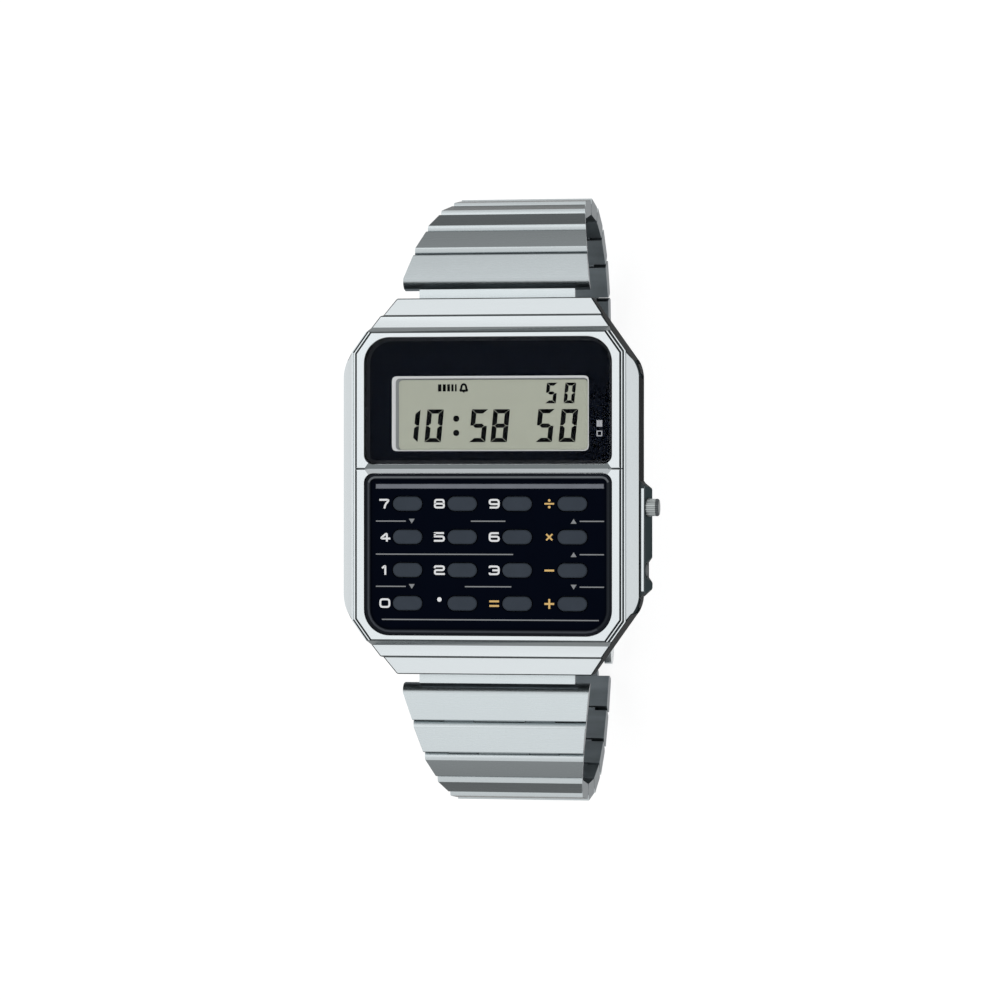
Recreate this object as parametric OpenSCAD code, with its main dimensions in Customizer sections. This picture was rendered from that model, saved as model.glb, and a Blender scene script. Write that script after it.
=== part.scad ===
// Digital calculator wristwatch on a steel link band, closed into its loop.
// +Z points out of the dial, +Y to 12 o'clock and +X to 3 o'clock.
// The watch stands on the flat cover of its clasp, which lies on Z = 0.

/* [Case] */
// Width across the straight sides
case_w = 34.4; // [33.6:0.1:36]
// Length from 12 to 6 o'clock
case_l = 43.5; // [42.4:0.1:45]
// Thickness from the rim to the outside of the back
case_t = 8.2; // [8:0.1:9]
// Width left at the 12 and 6 o'clock ends
tip_w = 22.8; // [22:0.1:24]
// Length of the straight sides
side_l = 27.2; // [26.4:0.1:28]
// Radius where the straight sides turn into the slanted corners
corner_r = 4; // [2:0.5:6]
// Width of the slanted facet down each long side
facet_w = 1.33; // [1:0.01:1.5]
// Drop of that facet at its outer edge
facet_drop = 2; // [1.5:0.1:2.5]
// Width of the double groove round the raised rim
groove_w = 0.42; // [0.36:0.02:0.46]
// Width of the flat rim beside the windows
rim_flat = 0.95; // [0.8:0.05:1.2]
// Length of the lower step at each end
low_step_l = 1.95; // [1.5:0.05:2.1]
// Length of the upper step at each end
high_step_l = 1.35; // [1.2:0.05:1.5]
// Length of the slope between the rim and the upper step
slope_l = 0.6; // [0.4:0.1:0.8]
// Depth of the lower step's outer edge under the rim
tip_drop = 4.4; // [4.1:0.1:4.6]

/* [Windows] */
// Height of the bar between the display and the keypad
bar_h = 1; // [0.8:0.1:1.4]
// Place of that bar above the middle of the case
bar_y = 2; // [1.5:0.1:2.5]
// Thickness of the display window
lens_t = 1; // [0.8:0.1:1.1]
// Thickness of the printed mask under it
mask_t = 0.2; // [0.15:0.05:0.3]
// Depth of the window under the rim
lens_drop = 0.25; // [0.15:0.05:0.35]
// Depth of the keypad panel's border under the rim
panel_drop = 0.3; // [0.2:0.05:0.4]
// Width of the visible display
aperture_w = 22.7; // [21:0.1:23]
// Height of the visible display
aperture_h = 8.4; // [7:0.1:8.6]

/* [Keypad] */
// Columns of keys
key_columns = 4; // [4:4]
// Rows of keys
key_rows = 4; // [4:4]
// Distance between columns
key_pitch_x = 6.38; // [6:0.01:6.5]
// Distance between rows
key_pitch_y = 3.81; // [3.6:0.01:3.9]
// Width of a key
key_w = 3.4; // [3:0.1:3.6]
// Height of a key
key_h = 1.6; // [1.4:0.1:1.8]
// Height of a key over the panel
key_rise = 0.2; // [0.1:0.05:0.3]
// Travel of a key
key_travel = 0.3; // [0.2:0.05:0.35]

/* [Pushers] */
// Diameter of the mode pusher at 3 o'clock
mode_d = 2; // [1.8:0.1:2.2]
// Length that the mode pusher stands out of the guard
mode_out = 1.05; // [0.9:0.05:1.3]
// Travel of the mode pusher
mode_travel = 0.6; // [0.4:0.1:0.6]
// Diameter of the recessed adjust pusher
adjust_d = 1.5; // [1.3:0.1:1.7]
// Travel of the adjust pusher
adjust_travel = 0.4; // [0.3:0.1:0.4]
// Distance of the mode pusher below the middle of the case
mode_down = 2.43; // [2:0.01:3]
// Distance of the adjust pusher below the middle of the case
adjust_down = 9.63; // [9:0.01:10]

/* [Band] */
// Distance between two link pins
pitch = 4.8; // [4.6:0.05:5.2]
// Thickness of a link at its far edge
link_t = 1.8; // [1.75:0.05:2]
// Extra thickness behind the bevel of its near edge
link_proud = 0.25; // [0.1:0.05:0.4]
// Width of the band at the case
band_w = 21.9; // [20:0.1:22]
// Width of the band at the clasp
band_end_w = 16; // [15:0.1:18]
// Width lost by each link at the case end
band_taper = 1.5; // [1:0.05:2]
// Length of the bevel on the case side of each link
link_bevel_l = 0.45; // [0.3:0.05:0.7]
// Depth of that bevel
link_bevel_h = 0.5; // [0.3:0.05:0.6]
// Width of the strip that joins the band to the case
tongue_w = 18.3; // [17:0.1:18.4]
// Length of that strip seen between case and band
tip_gap = 1; // [0.7:0.05:1.2]
// Diameter of a link pin
link_pin_d = 0.7; // [0.6:0.05:0.8]
// Diameter of a link knuckle
knuckle_d = 1.3; // [1.2:0.05:1.35]

/* [Clasp] */
// Width of the clasp cover
clasp_w = 16.6; // [16.2:0.1:18]
// Height that the cover stands out of the band
cover_proud = 0.5; // [0.4:0.05:0.7]
// Thickness of the cover's floor
cover_floor = 0.9; // [0.9:0.05:1]
// Thickness of the cover's two side walls
cover_wall = 0.9; // [0.7:0.05:1]
// Height of the cover's side walls
cover_h = 2.8; // [2.7:0.05:3]
// Thickness of the folding leaf
leaf_t = 0.7; // [0.6:0.05:0.8]
// Width of the adjusting tab
tab_w = 7.6; // [6:0.1:9]
// Length of the adjusting tab
tab_l = 5; // [4:0.1:6]

/* [Hidden] */
$fn = 48;

// Every cut runs past the faces that it opens by this much
overrun = 0.5;
// Gap between still pieces that are only laid together
seat_gap = 0.05;
// Radial clearance of a turning or sliding fit
run_gap = 0.05;
// Clearance round a key, a pusher and other guided pieces
guide_gap = 0.12;

// Case: heights are measured down from the rim and count as negative
facet_top = 0.3;
riser_w = 0.15;
high_step_rise = 0.4;
low_step_rise = 1;
riser_h = 1.3;
tuck_w = 0.5;
tuck_h = 0.5;
lip_w = 0.1;
groove_depth = 0.45;
ridge_in = 0.08;
ridge_out = 0.22;
ridge_drop = 0.08;
rim_corner_in = 0.56;
rim_end_in = low_step_l + high_step_l + slope_l + riser_w;
rim_side_in = facet_w + lip_w + groove_w;
flange_t = 0.7;
pad_t = 0.5;
body_t = case_t - flange_t - pad_t;
rim_half_w = case_w / 2 - rim_side_in;
rim_half_l = case_l / 2 - rim_end_in;
upper_step_y = rim_half_l + slope_l;
lower_step_y = case_l / 2 - low_step_l;

// Angle of the slanted corners, and their distance from the middle of the case
lean = atan((case_w / 2 - tip_w / 2) / (case_l / 2 - side_l / 2));
corner_line = case_w / 2 * cos(lean) + side_l / 2 * sin(lean);

// Guard round the pushers
guard_out = 0.6;
guard_flare = 0.45;
guard_top_y = 0.6;
guard_ramp = 0.9;
guard_tail = 3.1;
guard_low_y = adjust_down + guard_tail;
guard_notch = 1.7;
guard_notch_ramp = 0.6;
guard_top_drop = 0.6;
guard_low = 0.4;
guard_rise = 0.6;

// Windows
window_half_w = rim_half_w - rim_flat;
end_flat_share = 0.6;
window_high_y = rim_half_l - end_flat_share * rim_flat;
window_low_y = -window_high_y;
bar_top_y = bar_y + bar_h / 2;
bar_low_y = bar_y - bar_h / 2;
window_big_r = 3;
window_small_r = 1.1;
ledge = lens_drop + lens_t + mask_t;
deck_t = 0.95;
roof = ledge + deck_t;
aperture_r = 0.5;
aperture_x = 0.1;
aperture_down = 1.47;
aperture_y = (bar_top_y + window_high_y) / 2 - aperture_down;
split_w = 0.14;
split_depth = 0.15;

// Keypad
key_r = key_h / 2;
key_crown = 0.12;
key_flange = 0.25;
key_flange_t = 0.35;
key_shift_x = 0.18;
keys_up = 0.1;
key_mid_y = (bar_low_y + window_low_y) / 2 + keys_up;
panel_border = 0.7;
panel_sink = 0.25;
panel_top = panel_drop + panel_sink;
key_top = panel_top - key_rise;
key_flange_top = ledge + seat_gap;
stem_w = 2;
stem_h = 1;
deck_margin_x = 2;
deck_margin_y = 1.6;
key_names = [
    ["key_7", "key_8", "key_9", "key_divide"],
    ["key_4", "key_5", "key_6", "key_times"],
    ["key_1", "key_2", "key_3", "key_minus"],
    ["key_0", "key_point", "key_equals", "key_plus"]
];

// Display, held by the module frame
lcd_t = 1.6;
lcd_margin_x = 0.45;
lcd_margin_y = 0.75;
lcd_half_w = aperture_w / 2 + lcd_margin_x;
lcd_half_h = aperture_h / 2 + lcd_margin_y;
lcd_top = ledge + seat_gap;
lcd_ledge = 0.6;
lcd_rim = 1.03;
connector_h = 1.2;
connector_w = 1.1;
connector_in = 0.2;

// Module: frame, board and domes
board_top = lcd_top + lcd_t + connector_h;
board_t = 0.8;
board_low = board_top + board_t;
frame_in = 0.15;
frame_wall = 1.2;
frame_top = roof + seat_gap;
frame_plate_t = 0.8;
dome_sheet_t = 0.2;
dome_r = 1.3;
dome_tip_r = 0.8;
dome_h = 0.15;
stem_end = board_top - dome_sheet_t - dome_h - key_travel - seat_gap;

// Inside of the case: as wide as the display and the outer keys need, with its corners clear of the screws
lug_reach = 2.7;
end_wall = 2;
gasket_gap = 0.4;
gasket_w = 0.45;
gasket_t = 0.5;
groove_play = 0.03;
screw_r = 0.6;
screw_side_in = 4.9;
screw_end_in = 5.3;
screw_x = case_w / 2 - screw_side_in;
screw_y = case_l / 2 - screw_end_in;
screw_wall = 0.17;
screw_head_r = 1.15;
screw_head_t = 0.45;
screw_l = 3;
screw_slot = 0.3;
screw_slot_depth = 0.2;
display_need = aperture_x + lcd_half_w + lcd_rim;
keys_need = key_shift_x + (key_columns - 1) / 2 * key_pitch_x + dome_r + frame_wall;
cavity_side_in = case_w / 2 - max(display_need, keys_need) - guide_gap - frame_in;
cavity_corner_in = corner_line - screw_x * cos(lean) - screw_y * sin(lean)
    + screw_r + screw_wall + gasket_w + gasket_gap;
cavity_end_in = lug_reach + end_wall;

// Cell and its strap
battery_d = 20;
battery_t = 1.6;
battery_y = -4.5;
battery_lip = 0.35;
battery_top = board_low + seat_gap;
strap_t = 0.15;
strap_w = 5;
strap_top = battery_top + battery_t + seat_gap;
strap_reach = 0.85;
strap_half_l = battery_d / 2 + strap_reach;
strap_leg = 0.25;

// Back
cover_side_lip = 0.15;
cover_end_lip = 0.7;
cover_side_in = cavity_side_in - gasket_gap - gasket_w - cover_side_lip;
cover_end_in = lug_reach + cover_end_lip;
cover_r = 3.5;
pad_in = 1.6;
pocket_depth = 0.35;
pocket_in = 0.3;
piezo_r = 6.5;
piezo_t = 0.25;
piezo_y = 9;

// Pushers
pusher_depth = 4;
pusher_head_in = 1.3;
pusher_spring_l = 1.1;
mode_stem_r = 0.5;
adjust_stem_r = 0.4;
adjust_head_in = 1.05;
adjust_spring_l = 0.8;
pusher_edge = 0.15;
flutes = 14;
flute_r = 0.12;
adjust_out = 0.15;
clip_t = 0.2;
clip_rim = 0.4;
clip_gap = 0.05;
stem_tail = 0.4;
side_notch_x = 2.1;
side_notch_y = 1.4;

// Lugs and spring bars
bar_up = 1.05;
bar_back = 1.3;
bar_r = 0.7;
bar_end_r = 0.45;
bar_end_l = 1;
slot_gap = 0.2;
slot_up = 2.15;
tube_r = 0.95;
bar_half_y = case_l / 2 - bar_back;
bar_depth = body_t - bar_up;

// Band: tilt of each link out of the dial's plane, in degrees
top_tilts = [41, 54.5, 64, 75, 80, 97, 114, 133, 152, 170];
low_tilts = [32, 36.5, 54, 65.5, 79.5, 94, 109, 126, 144];
pin_in = 1.1;
strip_in = 0.3;
tongue_t = 0.4;
tongue_low = 0.95;
joint_gap = 0.06;
relief = 0.3;
pin_play = 0.01;
hinge_half = 6.5;
hinge_mid = 3;
hinge_side_gap = 0.1;
knuckle_gap = 0.1;
link_count = len(top_tilts);
strip_depth = bar_depth + tongue_low - tongue_t;
pin_r = link_pin_d / 2;
knuckle_r = knuckle_d / 2;
knuckle_cut_r = knuckle_r + knuckle_gap;

// Pin places along each half of the band, from the case to the clasp
function sum_sin(tilts, n) = n <= 0 ? 0 : sin(tilts[n - 1]) + sum_sin(tilts, n - 1);
function sum_cos(tilts, n) = n <= 0 ? 0 : cos(tilts[n - 1]) + sum_cos(tilts, n - 1);
function start_y(tilts) = case_l / 2 + tip_gap - joint_gap * cos(tilts[0]) + strip_in * sin(tilts[0]);
function start_depth(tilts) = strip_depth - joint_gap * sin(tilts[0]) - strip_in * cos(tilts[0]);
function pin_y(tilts, n) = start_y(tilts) + pitch * sum_cos(tilts, n);
function pin_depth(tilts, n) = start_depth(tilts) + pitch * sum_sin(tilts, n);

// The last lower link takes the tilt that brings its pin level with the upper half's
loop_depth = pin_depth(top_tilts, link_count);
short_of = (loop_depth - pin_depth(low_tilts, link_count - 1)) / pitch;
closed_low_tilts = concat(low_tilts, [180 - asin(short_of)]);
rim_z = loop_depth + pin_in + cover_proud;

// Clasp
clasp_pin_z = pin_in + cover_proud;
top_end_y = pin_y(top_tilts, link_count);
low_end_y = -pin_y(closed_low_tilts, link_count);
clasp_gap = 0.4;
cover_hinge_y = low_end_y + knuckle_r + clasp_gap + clasp_pin_z;
cover_end_r = 1.25;
leaf_below_pin = 0.35;
leaf_low = clasp_pin_z - leaf_below_pin;
leaf_side_gap = 0.15;
leaf_tube_r = clasp_pin_z - cover_floor - run_gap;
cover_pin_r = 0.35;
tongue_gap = 0.15;
tab_y = -6;
tab_gap = 0.15;
tab_t = 0.6;
tab_barrel_r = 0.44;
tab_trunnion_r = 0.2;
tab_trunnion_l = 0.8;
tab_rib = 0.3;
cover_groove_w = 0.3;
cover_groove_depth = 0.15;

// A corner of an outline with its tangent length, for outlines that run anticlockwise
function unit(v) = v / norm(v);
function before(pts, i) = unit(pts[(i + len(pts) - 1) % len(pts)] - pts[i]);
function after(pts, i) = unit(pts[(i + 1) % len(pts)] - pts[i]);
function half_turn(pts, i) = acos(before(pts, i) * after(pts, i)) / 2;

module rounded_outline(pts, radii) {
    polygon([
        for (i = [0:len(pts) - 1])
            let (t = radii[i] / tan(half_turn(pts, i)))
            each radii[i] > 0 ? [pts[i] + before(pts, i) * t, pts[i] + after(pts, i) * t] : [pts[i]]
    ]);
    for (i = [0:len(pts) - 1])
        if (radii[i] > 0)
            translate(pts[i] + unit(before(pts, i) + after(pts, i)) * radii[i] / sin(half_turn(pts, i)))
                circle(r = radii[i]);
}

// The case's eight-sided outline, drawn in from its sides, corners and ends
function eight_points(side_in, corner_in, end_in) =
    let (
        x = case_w / 2 - side_in,
        y = case_l / 2 - end_in,
        k = corner_line - corner_in,
        side_y = (k - x * cos(lean)) / sin(lean),
        end_x = (k - y * sin(lean)) / cos(lean)
    )
    [
        [x, -side_y], [x, side_y], [end_x, y], [-end_x, y],
        [-x, side_y], [-x, -side_y], [-end_x, -y], [end_x, -y]
    ];

module case_outline(side_in, corner_in, end_in, side_r = 0, end_r = 0) {
    rounded_outline(
        eight_points(side_in, corner_in, end_in),
        [side_r, side_r, end_r, end_r, side_r, side_r, end_r, end_r]
    );
}

// A window's outline between two heights, with its own radius above and below
module pane(half_w, low_y, high_y, low_r, high_r) {
    rounded_outline(
        [[half_w, low_y], [half_w, high_y], [-half_w, high_y], [-half_w, low_y]],
        [low_r, high_r, high_r, low_r]
    );
}

module rounded_box(half_w, half_h, r) {
    pane(half_w, -half_h, half_h, r, r);
}

// A flat outline made solid between two depths under the rim
module layer(top, low) {
    translate([0, 0, rim_z - low]) linear_extrude(low - top) children();
}

function mirrored(pts) = concat(pts, [for (i = [len(pts) - 1:-1:0]) [-pts[i][0], pts[i][1]]]);

// A side view drawn in X and height, run along Y, and one drawn in Y and height, run along X
module along_y(length) {
    translate([0, 0, rim_z]) rotate([90, 0, 0]) linear_extrude(length, center = true) children();
}

module along_x(length) {
    translate([0, 0, rim_z]) rotate([90, 0, 90]) linear_extrude(length, center = true) children();
}

// Long sides: upright wall, tucked in below, with the bright facet above
module case_sides() {
    along_y(case_l + overrun)
        polygon(mirrored([
            [case_w / 2 - tuck_w, -body_t],
            [case_w / 2, -body_t + tuck_h],
            [case_w / 2, -facet_drop],
            [case_w / 2 - facet_w, -facet_top]
        ]));
}

// Ends: two steps down to the band
module case_ends() {
    high_drop = tip_drop - low_step_rise - riser_h - high_step_rise;
    along_x(case_w + overrun)
        polygon(mirrored([
            [case_l / 2, -body_t],
            [case_l / 2, -tip_drop],
            [lower_step_y, -tip_drop + low_step_rise],
            [lower_step_y - riser_w, -high_drop - high_step_rise],
            [upper_step_y, -high_drop],
            [rim_half_l, -facet_top]
        ]));
}

module rim_ring(inner, outer, top, low) {
    layer(top, low)
        difference() {
            case_outline(rim_side_in - outer, rim_corner_in - outer, rim_end_in - outer);
            case_outline(rim_side_in - inner, rim_corner_in - inner, rim_end_in - inner);
        }
}

module pusher_guard() {
    shelf = case_w / 2 + guard_out;
    face = shelf + guard_flare;
    intersection() {
        layer(0, body_t)
            polygon([
                [case_w / 2 - facet_w, guard_top_y],
                [case_w / 2 - facet_w, -guard_low_y],
                [case_w / 2, -guard_low_y],
                [face, -guard_low_y + guard_ramp],
                [face, -adjust_down - guard_notch / 2 - guard_notch_ramp],
                [shelf, -adjust_down - guard_notch / 2],
                [shelf, -adjust_down + guard_notch / 2],
                [face, -adjust_down + guard_notch / 2 + guard_notch_ramp],
                [face, guard_top_y - guard_ramp],
                [case_w / 2, guard_top_y]
            ]);
        along_y(case_l)
            polygon([
                [case_w / 2 - facet_w, -body_t + guard_low],
                [case_w / 2, -body_t + guard_low],
                [face, -body_t + guard_low + guard_rise],
                [shelf, -facet_drop - guard_top_drop],
                [case_w / 2 - facet_w, -facet_drop - guard_top_drop]
            ]);
    }
}

module upper_window(gap = 0) {
    pane(window_half_w - gap, bar_top_y + gap, window_high_y - gap, window_small_r - gap, window_big_r - gap);
}

module lower_window(gap = 0) {
    pane(window_half_w - gap, window_low_y + gap, bar_low_y - gap, window_big_r - gap, window_small_r - gap);
}

module lcd_outline(gap) {
    translate([aperture_x, aperture_y]) square([lcd_half_w + gap, lcd_half_h + gap] * 2, center = true);
}

function key_x(column) = key_shift_x + (column - (key_columns - 1) / 2) * key_pitch_x;
function key_y(row) = key_mid_y - (row - (key_rows - 1) / 2) * key_pitch_y;

module at_keys() {
    for (row = [0:key_rows - 1], column = [0:key_columns - 1])
        translate([key_x(column), key_y(row)]) children();
}

// The opening in the deck that the key flanges move in
module key_deck() {
    translate([key_shift_x, key_mid_y])
        square([
            (key_columns - 1) * key_pitch_x + key_w + deck_margin_x,
            (key_rows - 1) * key_pitch_y + key_h + deck_margin_y
        ], center = true);
}

module stadium(w, h) {
    square([w - h, h], center = true);
    for (side = [-1, 1]) translate([side * (w - h) / 2, 0]) circle(d = h);
}

module cavity(gap = 0) {
    case_outline(cavity_side_in + gap, cavity_corner_in + gap, cavity_end_in + gap);
}

module at_screws() {
    for (sx = [-1, 1], sy = [-1, 1])
        translate([sx * screw_x, sy * screw_y]) children();
}

// A round piece on the axis of a pusher, between two places in X
module pusher_part(down, r, from_x, to_x) {
    translate([from_x, -down, rim_z - pusher_depth]) rotate([0, 90, 0]) cylinder(r = r, h = to_x - from_x);
}

mode_seat_x = case_w / 2 - pusher_head_in;
mode_head_x = mode_seat_x + pusher_spring_l;
adjust_seat_x = case_w / 2 - adjust_head_in;
adjust_head_x = adjust_seat_x + adjust_spring_l;
cavity_x = case_w / 2 - cavity_side_in;

module pusher_hole(down, head_r, stem_r, seat_x) {
    pusher_part(down, head_r + guide_gap, seat_x, case_w / 2 + guard_out + guard_flare + overrun);
    pusher_part(down, stem_r + run_gap, cavity_x - overrun, seat_x + overrun);
}

// Slot at one end for the band's first link, with the holes for its spring bar
module lug_slot() {
    slot_w = tongue_w + 2 * slot_gap;
    translate([-slot_w / 2, case_l / 2 - lug_reach, rim_z - body_t - overrun])
        cube([slot_w, lug_reach + overrun, slot_up + overrun]);
    translate([-slot_w / 2 - bar_end_l, bar_half_y, rim_z - bar_depth])
        rotate([0, 90, 0]) cylinder(r = bar_end_r + pin_play, h = slot_w + 2 * bar_end_l);
}

module case_shell() {
    color("silver") difference() {
        union() {
            difference() {
                intersection() {
                    layer(0, body_t) case_outline(0, 0, 0, corner_r);
                    union() {
                        layer(0, body_t) case_outline(rim_side_in, rim_corner_in, rim_end_in);
                        intersection() {
                            case_sides();
                            case_ends();
                        }
                    }
                }
                rim_ring(0, groove_w, -overrun, groove_depth);
            }
            intersection() {
                rim_ring(ridge_in, ridge_out, ridge_drop, groove_depth + overrun);
                layer(0, body_t) square([case_w, 2 * rim_half_l], center = true);
            }
            pusher_guard();
        }
        layer(-overrun, ledge) {
            upper_window();
            lower_window();
        }
        layer(ledge - overrun, roof + overrun) {
            lcd_outline(guide_gap);
            key_deck();
        }
        layer(roof, body_t + overrun) cavity();
        layer(body_t - gasket_t, body_t + overrun)
            difference() {
                cavity(-gasket_gap - gasket_w - groove_play);
                cavity(-gasket_gap + groove_play);
            }
        layer(body_t - screw_l, body_t + overrun) at_screws() circle(r = screw_r + pin_play);
        for (side = [-1, 1])
            translate([side * (window_half_w + rim_flat / 2), bar_y, rim_z])
                cube([rim_flat + 2 * groove_w, split_w, 2 * split_depth], center = true);
        pusher_hole(mode_down, mode_d / 2, mode_stem_r, mode_seat_x);
        pusher_hole(adjust_down, adjust_d / 2, adjust_stem_r, adjust_seat_x);
        lug_slot();
        mirror([0, 1, 0]) lug_slot();
    }
}

module display_window() {
    color([0.75, 0.82, 0.85, 0.35]) layer(lens_drop, lens_drop + lens_t) upper_window(seat_gap);
}

module window_mask() {
    color([0.06, 0.07, 0.11])
        layer(lens_drop + lens_t, ledge)
            difference() {
                upper_window(seat_gap);
                translate([aperture_x, aperture_y]) rounded_box(aperture_w / 2, aperture_h / 2, aperture_r);
            }
}

module keypad_panel() {
    color([0.02, 0.02, 0.06]) difference() {
        layer(panel_drop, ledge) lower_window(seat_gap);
        layer(panel_drop - overrun, panel_top) lower_window(panel_border);
        layer(panel_drop - overrun, ledge + overrun) at_keys() stadium(key_w + 2 * guide_gap, key_h + 2 * guide_gap);
    }
}

// A key: crowned cap, flange under the panel and stem down to its dome
module key(row, column) {
    cap = [[0, 0], [key_r, 0], [key_r, key_flange_top - key_top - key_crown],
        [key_r - key_crown, key_flange_top - key_top], [0, key_flange_top - key_top]];
    color([0.22, 0.24, 0.28]) translate([key_x(column), key_y(row), 0]) {
        translate([0, 0, rim_z - key_flange_top]) {
            for (side = [-1, 1]) translate([side * (key_w - key_h) / 2, 0, 0]) rotate_extrude() polygon(cap);
            rotate([90, 0, 90]) linear_extrude(key_w - key_h, center = true) polygon(mirrored([
                [key_r, 0],
                [key_r, key_flange_top - key_top - key_crown],
                [key_r - key_crown, key_flange_top - key_top]
            ]));
        }
        layer(key_flange_top, key_flange_top + key_flange_t)
            stadium(key_w + 2 * key_flange, key_h + 2 * key_flange);
        layer(key_flange_top, stem_end) stadium(stem_w, stem_h);
    }
}

module dome_sheet() {
    color([0.72, 0.74, 0.72]) intersection() {
        union() {
            layer(board_top - dome_sheet_t, board_top) key_deck();
            at_keys()
                translate([0, 0, rim_z - board_top + dome_sheet_t]) cylinder(r1 = dome_r, r2 = dome_tip_r, h = dome_h);
        }
        layer(board_top - dome_sheet_t - dome_h, board_top) cavity(frame_in + frame_wall + guide_gap);
    }
}

module lcd_panel() {
    color([0.65, 0.66, 0.6]) {
        layer(lcd_top, lcd_top + lcd_t / 2)
            translate([aperture_x, aperture_y])
                square([lcd_half_w * 2, 2 * (lcd_half_h - lcd_ledge)], center = true);
        layer(lcd_top + lcd_t / 2, lcd_top + lcd_t) lcd_outline(0);
    }
}

module lcd_connectors() {
    color([0.75, 0.5, 0.4])
        layer(lcd_top + lcd_t, board_top)
            for (side = [-1, 1])
                translate([aperture_x, aperture_y + side * (lcd_half_h - connector_in - connector_w / 2)])
                    square([2 * (lcd_half_w - connector_in), connector_w], center = true);
}

// Openings for the tails of the two pushers
module side_notches() {
    for (down = [mode_down, adjust_down])
        translate([cavity_x - side_notch_x, -down - side_notch_y])
            square([side_notch_x + overrun, 2 * side_notch_y]);
}

module module_frame() {
    color([0.85, 0.86, 0.86]) difference() {
        layer(frame_top, board_top) cavity(frame_in);
        layer(frame_top - overrun, board_top + overrun) {
            lcd_outline(guide_gap);
            side_notches();
        }
        layer(frame_top + frame_plate_t, board_top + overrun)
            intersection() {
                cavity(frame_in + frame_wall);
                translate([-case_w / 2, -case_l / 2]) square([case_w, case_l / 2 + bar_low_y]);
            }
        layer(frame_top - overrun, board_top + overrun)
            at_keys() stadium(stem_w + 2 * guide_gap, stem_h + 2 * guide_gap);
    }
}

module circuit_board() {
    color([0.1, 0.35, 0.2]) layer(board_top, board_low) difference() {
        cavity(frame_in);
        side_notches();
    }
}

chip_r = 3.2;
chip_h = 1;
chip_x = -6;
chip_y = 10.5;
coil_r = 1.7;
coil_h = 1.3;
coil_x = 6.5;
coil_y = 10;
crystal_r = 0.75;
crystal_l = 5;
crystal_x = -1;
crystal_y = 14.4;
capacitor = [2, 1.2, 0.8];
capacitor_x = 0.5;
capacitor_y = 8.2;
capacitor_step = 2;

module board_components() {
    color([0.15, 0.15, 0.16]) translate([0, 0, rim_z - board_low]) {
        translate([chip_x, chip_y, -chip_h]) cylinder(r = chip_r, h = chip_h);
        translate([coil_x, coil_y, -coil_h]) cylinder(r = coil_r, h = coil_h);
        translate([crystal_x, crystal_y, -crystal_r]) rotate([0, 90, 0]) cylinder(r = crystal_r, h = crystal_l);
        for (i = [0:1])
            translate([capacitor_x, capacitor_y + i * capacitor_step, -capacitor[2]]) cube(capacitor);
    }
}

module battery() {
    color([0.78, 0.79, 0.8]) translate([0, battery_y, rim_z - battery_top - battery_t]) {
        cylinder(d = battery_d, h = battery_t - battery_lip);
        cylinder(d = battery_d - 2 * battery_lip, h = battery_t);
    }
}

module battery_strap() {
    color([0.7, 0.7, 0.68])
        translate([0, battery_y, 0])
            along_y(strap_w)
                polygon(mirrored([
                    [strap_half_l - strap_leg, -strap_top],
                    [strap_half_l - strap_leg, -board_low],
                    [strap_half_l, -board_low],
                    [strap_half_l, -strap_top - strap_t]
                ]));
}

module piezo_disc() {
    color([0.85, 0.7, 0.35])
        translate([0, piezo_y, rim_z - body_t - pocket_depth]) cylinder(r = piezo_r, h = piezo_t);
}

module back_gasket() {
    color([0.12, 0.12, 0.12])
        layer(body_t - gasket_t, body_t)
            difference() {
                cavity(-gasket_gap - gasket_w);
                cavity(-gasket_gap);
            }
}

module back_cover() {
    half_w = case_w / 2 - cover_side_in;
    half_l = case_l / 2 - cover_end_in;
    color([0.72, 0.73, 0.74]) difference() {
        union() {
            layer(body_t, body_t + flange_t) rounded_box(half_w, half_l, cover_r);
            layer(body_t, case_t) case_outline(cover_side_in + pad_in, cavity_corner_in, cover_end_in + pad_in);
        }
        layer(body_t - overrun, body_t + pocket_depth) cavity(pocket_in);
        layer(body_t - overrun, case_t + overrun) at_screws() circle(r = screw_r + guide_gap);
        layer(body_t + flange_t - screw_head_t, case_t + overrun) at_screws() circle(r = screw_head_r + guide_gap);
    }
}

module back_screws() {
    color([0.6, 0.6, 0.62]) difference() {
        union() {
            layer(body_t - screw_l, body_t + flange_t) at_screws() circle(r = screw_r);
            layer(body_t + flange_t - screw_head_t, body_t + flange_t) at_screws() circle(r = screw_head_r);
        }
        layer(body_t + flange_t - screw_slot_depth, body_t + flange_t + overrun)
            at_screws() square([2 * screw_head_r + overrun, screw_slot], center = true);
    }
}

// Pusher: head with a rounded edge, stem through the wall and a clip that keeps it in
module pusher(down, head_r, stem_r, head_x, tip_x) {
    color([0.6, 0.62, 0.63]) {
        translate([head_x, -down, rim_z - pusher_depth]) rotate([0, 90, 0]) rotate_extrude()
            polygon([
                [0, 0], [head_r, 0], [head_r, tip_x - head_x - pusher_edge],
                [head_r - pusher_edge, tip_x - head_x], [0, tip_x - head_x]
            ]);
        pusher_part(down, stem_r, cavity_x - clip_gap - clip_t - stem_tail, head_x + pusher_edge);
        pusher_part(down, stem_r + clip_rim, cavity_x - clip_gap - clip_t, cavity_x - clip_gap);
    }
}

module pusher_spring(down, head_r, stem_r, seat_x, head_x) {
    color([0.75, 0.75, 0.76]) difference() {
        pusher_part(down, head_r, seat_x, head_x);
        pusher_part(down, stem_r + run_gap, seat_x - overrun, head_x + overrun);
    }
}

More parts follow.
